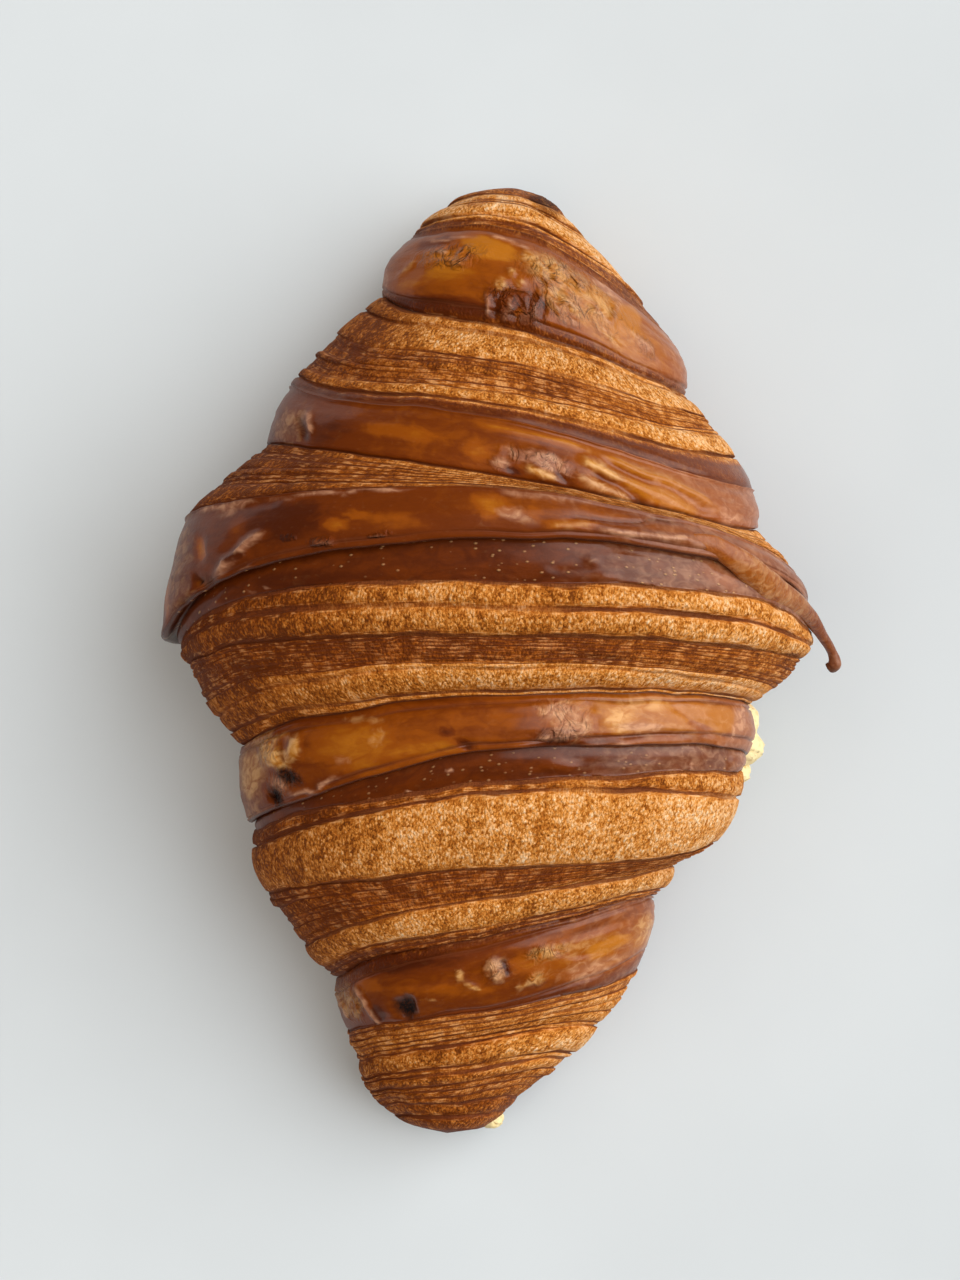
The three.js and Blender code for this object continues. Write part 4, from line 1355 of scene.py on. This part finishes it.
class CroissantStage(bpy.types.PropertyGroup):
    """Floor, light and camera"""

    floor_size: bpy.props.FloatProperty(
        name="Floor size", description="Side of the square floor", default=6.0, min=1, unit="LENGTH"
    )
    floor_colour: colour_property("Floor", "Colour of the floor", (0.61, 0.675, 0.72))
    lamp_power: bpy.props.FloatProperty(
        name="Lamp",
        description="Power of the large soft lamp on the right",
        default=3.6,
        min=0,
        unit="POWER",
    )
    ceiling_power: bpy.props.FloatProperty(
        name="Ceiling", description="Power of the wide light overhead", default=8, min=0, unit="POWER"
    )
    room_strength: bpy.props.FloatProperty(
        name="Room", description="Strength of the light from the room", default=3, min=0
    )


class CROISSANT_OT_crust(bpy.types.Operator):
    """Build the rolled, layered crust"""

    bl_idname = "croissant.crust"
    bl_label = "Crust"

    def execute(self, context):
        grid = crust_grid(context.scene.croissant_relief.in_millimetres())
        columns = len(grid[0][0])
        points = np.concatenate([[NORTH_TIP], *(row for row, _ in grid), [SOUTH_TIP]])
        points = keep_in_box(points)
        material = crust_material(context.scene.croissant_looks)
        faces = grid_faces(len(grid), columns)
        piece = new_piece("crust", points, faces, material, replaces="croissant")
        values = {}
        for name in grid[0][1]:
            first, last = grid[0][1][name][:1], grid[-1][1][name][:1]
            values[name] = np.concatenate([first, *(stored[name] for _, stored in grid), last])
        set_values(piece, values)
        return {"FINISHED"}


def tail_rings(steps=60, sides=24):
    """Rings of points along the tail, from inside the crust to its hooked tip."""
    knots = np.array([part["at"] for part in TAIL], float)
    sizes = np.array([(part["width"], part["thickness"]) for part in TAIL], float)
    count = len(TAIL)
    padded = np.concatenate([[2 * knots[0] - knots[1]], knots, [2 * knots[-1] - knots[-2]]])
    rings = []
    for i in range(steps + 1):
        place = i / steps * (count - 1)
        k = min(int(place), count - 2)
        t = place - k
        p0, p1, p2, p3 = padded[k : k + 4]
        slope, bend, twist = p2 - p0, 2 * p0 - 5 * p1 + 4 * p2 - p3, 3 * p1 - p0 - 3 * p2 + p3
        centre = 0.5 * (2 * p1 + slope * t + bend * t**2 + twist * t**3)
        forward = 0.5 * (slope + 2 * bend * t + 3 * twist * t**2)
        forward /= np.linalg.norm(forward)
        flat = np.cross((0, 0, 1), forward)
        flat /= np.linalg.norm(flat)
        up = np.cross(forward, flat)
        width, thickness = sizes[k] * (1 - t) + sizes[k + 1] * t
        turn = -np.arange(sides) / sides * TURN
        wobble = 1 + 0.06 * noise(np.cos(turn) * 1.5 + place * 2.5, np.sin(turn) * 1.5, 31)
        ring = (
            centre
            + np.outer(np.cos(turn) * width / 2 * wobble, flat)
            + np.outer(np.sin(turn) * thickness / 2 * wobble, up)
        )
        rings.append(ring)
    return rings


class CROISSANT_OT_tail(bpy.types.Operator):
    """Build the dried curl at the point of the dough"""

    bl_idname = "croissant.tail"
    bl_label = "Tail"

    def execute(self, context):
        rings = tail_rings()
        sides = len(rings[0])
        tip = rings[-1].mean(axis=0)
        points = keep_in_box(np.concatenate([[rings[0].mean(axis=0)], *rings, [tip]]))
        material = bpy.data.materials["baked_crust"]
        piece = new_piece("tail", points, grid_faces(len(rings), sides), material)
        ring_places = np.linspace(0, TAIL_LENGTH, len(rings))
        along = np.concatenate([[0], np.repeat(ring_places, sides), [TAIL_LENGTH]])
        ones = np.ones(len(points))
        values = dict(
            wash=ones,
            toast=0.2 + 0.4 * smooth(along / TAIL_LENGTH),
            away=FAR_FROM_LINES * ones,
            dark=0 * ones,
            wrinkle=0.1 * ones,
            char=0.5 * smooth((along - 25) / 5),
            pale=0.35 * smooth((along - 3) / 5) * (1 - smooth((along - 14) / 5)),
            # On the tail the dull skin is partly its dried skin, partly painted sheen.
            film=0.25 + 0.15 * smooth((along - 18) / 8),
            bubbly=0 * ones,
            gloss=ones,
            place=points,
        )
        set_values(piece, values)
        return {"FINISHED"}


def unit_ball(sides=40, rows=26):
    """The points and faces of a ball of radius 1, from its top to its bottom."""
    turn = np.arange(sides) / sides * TURN
    points = [np.array([[0, 0, 1.0]])]
    for i in range(1, rows):
        fall = i / rows * TURN / 2
        ring = [np.sin(fall) * np.cos(turn), np.sin(fall) * np.sin(turn), np.cos(fall) + 0 * turn]
        points.append(np.stack(ring, axis=-1))
    points.append(np.array([[0, 0, -1.0]]))
    return np.concatenate(points), grid_faces(rows - 1, sides)


class CROISSANT_OT_crumb(bpy.types.Operator):
    """Build the pale crumb under the crust's edge"""

    bl_idname = "croissant.crumb"
    bl_label = "Crumb"

    def execute(self, context):
        material = crumb_material(context.scene.croissant_looks)
        ball, faces = unit_ball()
        for number, lump in enumerate(CRUMBS):
            u, v = ball[:, 0] * 3 + ball[:, 2] * 2, ball[:, 1] * 3 - ball[:, 2]
            lumps = 0.95 + 0.06 * rough_noise(u, v, 500 + number)
            lumps = lumps + 0.05 * noise(u * 2.6, v * 2.6, 520 + number)
            made = np.array(lump["at"]) + ball * np.array(lump["radii"]) * np.minimum(lumps, 1)[:, None]
            new_piece(f"crumb_{number + 1}", keep_in_box(made), faces, material)
        return {"FINISHED"}


def aim(thing, target):
    """Points a light or camera at a place."""
    direction = Vector(target) - thing.location
    thing.rotation_euler = direction.to_track_quat("-Z", "Y").to_euler()


def area_light(name, location, target, size, power, colour):
    light = bpy.data.lights.new(name, "AREA")
    light.shape = "DISK"
    light.size = size
    light.energy = power
    light.color = colour
    thing = bpy.data.objects.new(name, light)
    thing.location = location
    bpy.context.scene.collection.objects.link(thing)
    aim(thing, target)
    return thing


FLOOR_LEVEL = -0.2 * MM  # just clear of the base

# The camera looks straight down from above, turned a little
CAMERA_AT = (-0.9, 3.5, 354)
CAMERA_TURN = math.radians(3.4)
SENSOR = 36
SEEN_HEIGHT = 210  # of the picture, at the level of the croissant's outline
OUTLINE_LEVEL = 24


def add_camera():
    data = bpy.data.cameras.new("camera")
    data.sensor_width = SENSOR
    data.lens = SENSOR * (CAMERA_AT[2] - OUTLINE_LEVEL) / SEEN_HEIGHT
    data.clip_start = 0.01
    camera = bpy.data.objects.new("camera", data)
    camera.location = Vector(CAMERA_AT) * MM
    camera.rotation_euler = (0, 0, CAMERA_TURN)
    bpy.context.scene.collection.objects.link(camera)
    bpy.context.scene.camera = camera


# In metres: the lamp stands on the right, the wide one hangs overhead
LAMP_AT = (1.1, 0.4, 0.98)
LAMP_TARGET = (0, 0, 0.02)
LAMP_SIZE = 1.4
LAMP_COLOUR = (1.0, 0.98, 0.95)
CEILING_AT = (-0.4, 0, 1)
CEILING_SIZE = 1.6
CEILING_COLOUR = (1.0, 0.87, 0.75)

# Where the window of the room is seen from the croissant, and how far it reaches round that way
WINDOW_WAY = (0.72, 0.26, 0.64)
WINDOW_EDGE = math.cos(math.radians(44))
WINDOW_INSIDE = math.cos(math.radians(30))
WINDOW_COLOUR = (1.0, 0.985, 0.97, 1)
# The dim room by height, from the floor's level to overhead, and what a camera sees beyond the floor
DIM_ROOM = [
    (0.0, (0.044, 0.038, 0.032, 1)),
    (0.4, (0.02, 0.016, 0.013, 1)),
    (0.9, (0.001, 0.001, 0.001, 1)),
]
BACKDROP = (0.2, 0.208, 0.213, 1)


def add_room(strength):
    """Light from all round: a wide window on the right, a dim room, and dark overhead."""
    world = bpy.data.worlds.new("room")
    bpy.context.scene.world = world
    world.use_nodes = True
    n = Nodes(world.node_tree)
    background = world.node_tree.nodes["Background"]
    direction = n.add("ShaderNodeTexCoord").outputs["Generated"]
    parts = n.add("ShaderNodeSeparateXYZ")
    n.put(parts.inputs[0], direction)
    toward = n.add("ShaderNodeVectorMath", operation="DOT_PRODUCT")
    n.put(toward.inputs[0], direction)
    toward.inputs[1].default_value = Vector(WINDOW_WAY).normalized()
    window = n.reach(toward.outputs["Value"], WINDOW_EDGE, WINDOW_INSIDE)
    light = n.mix(window, n.ramp(parts.outputs["Z"], DIM_ROOM), WINDOW_COLOUR)
    seen = n.add("ShaderNodeLightPath").outputs["Is Camera Ray"]
    n.put(background.inputs["Color"], n.mix(seen, light, BACKDROP))
    background.inputs["Strength"].default_value = strength


class CROISSANT_OT_stage(bpy.types.Operator):
    """Set up the floor, the light and the camera"""

    bl_idname = "croissant.stage"
    bl_label = "Stage"

    def execute(self, context):
        stage = context.scene.croissant_stage
        half = stage.floor_size / 2
        mesh = bpy.data.meshes.new("floor")
        ends = [(-half, -half), (half, -half), (half, half), (-half, half)]
        corners = [(x, y, FLOOR_LEVEL) for x, y in ends]
        mesh.from_pydata(corners, [], [(0, 1, 2, 3)])
        mesh.materials.append(floor_material(stage.floor_colour))
        floor = bpy.data.objects.new("floor", mesh)
        context.scene.collection.objects.link(floor)
        area_light("lamp", LAMP_AT, LAMP_TARGET, LAMP_SIZE, stage.lamp_power, LAMP_COLOUR)
        power = stage.ceiling_power
        ceiling = area_light("ceiling", CEILING_AT, (0, 0, 0), CEILING_SIZE, power, CEILING_COLOUR)
        ceiling.visible_glossy = False
        add_room(stage.room_strength)
        add_camera()
        context.scene.view_settings.view_transform = "Standard"
        return {"FINISHED"}


class CROISSANT_PT_panel(bpy.types.Panel):
    """The croissant's pieces and settings"""

    bl_idname = "CROISSANT_PT_panel"
    bl_label = "Croissant"
    bl_space_type = "VIEW_3D"
    bl_region_type = "UI"
    bl_category = "Croissant"

    def draw(self, context):
        for operator in OPERATORS:
            self.layout.operator(operator.bl_idname)
        scene = context.scene
        for group in (scene.croissant_relief, scene.croissant_looks, scene.croissant_stage):
            for name in group.__annotations__:
                self.layout.prop(group, name)


OPERATORS = (CROISSANT_OT_stage, CROISSANT_OT_crust, CROISSANT_OT_tail, CROISSANT_OT_crumb)
CLASSES = (CroissantRelief, CroissantLooks, CroissantStage, *OPERATORS, CROISSANT_PT_panel)


def register():
    for made in CLASSES:
        bpy.utils.register_class(made)
    bpy.types.Scene.croissant_relief = bpy.props.PointerProperty(type=CroissantRelief)
    bpy.types.Scene.croissant_looks = bpy.props.PointerProperty(type=CroissantLooks)
    bpy.types.Scene.croissant_stage = bpy.props.PointerProperty(type=CroissantStage)


def unregister():
    del bpy.types.Scene.croissant_stage
    del bpy.types.Scene.croissant_looks
    del bpy.types.Scene.croissant_relief
    for made in reversed(CLASSES):
        bpy.utils.unregister_class(made)


def main():
    register()
    bpy.ops.croissant.stage()
    bpy.ops.croissant.crust()
    bpy.ops.croissant.tail()
    bpy.ops.croissant.crumb()


if __name__ == "__main__":
    main()
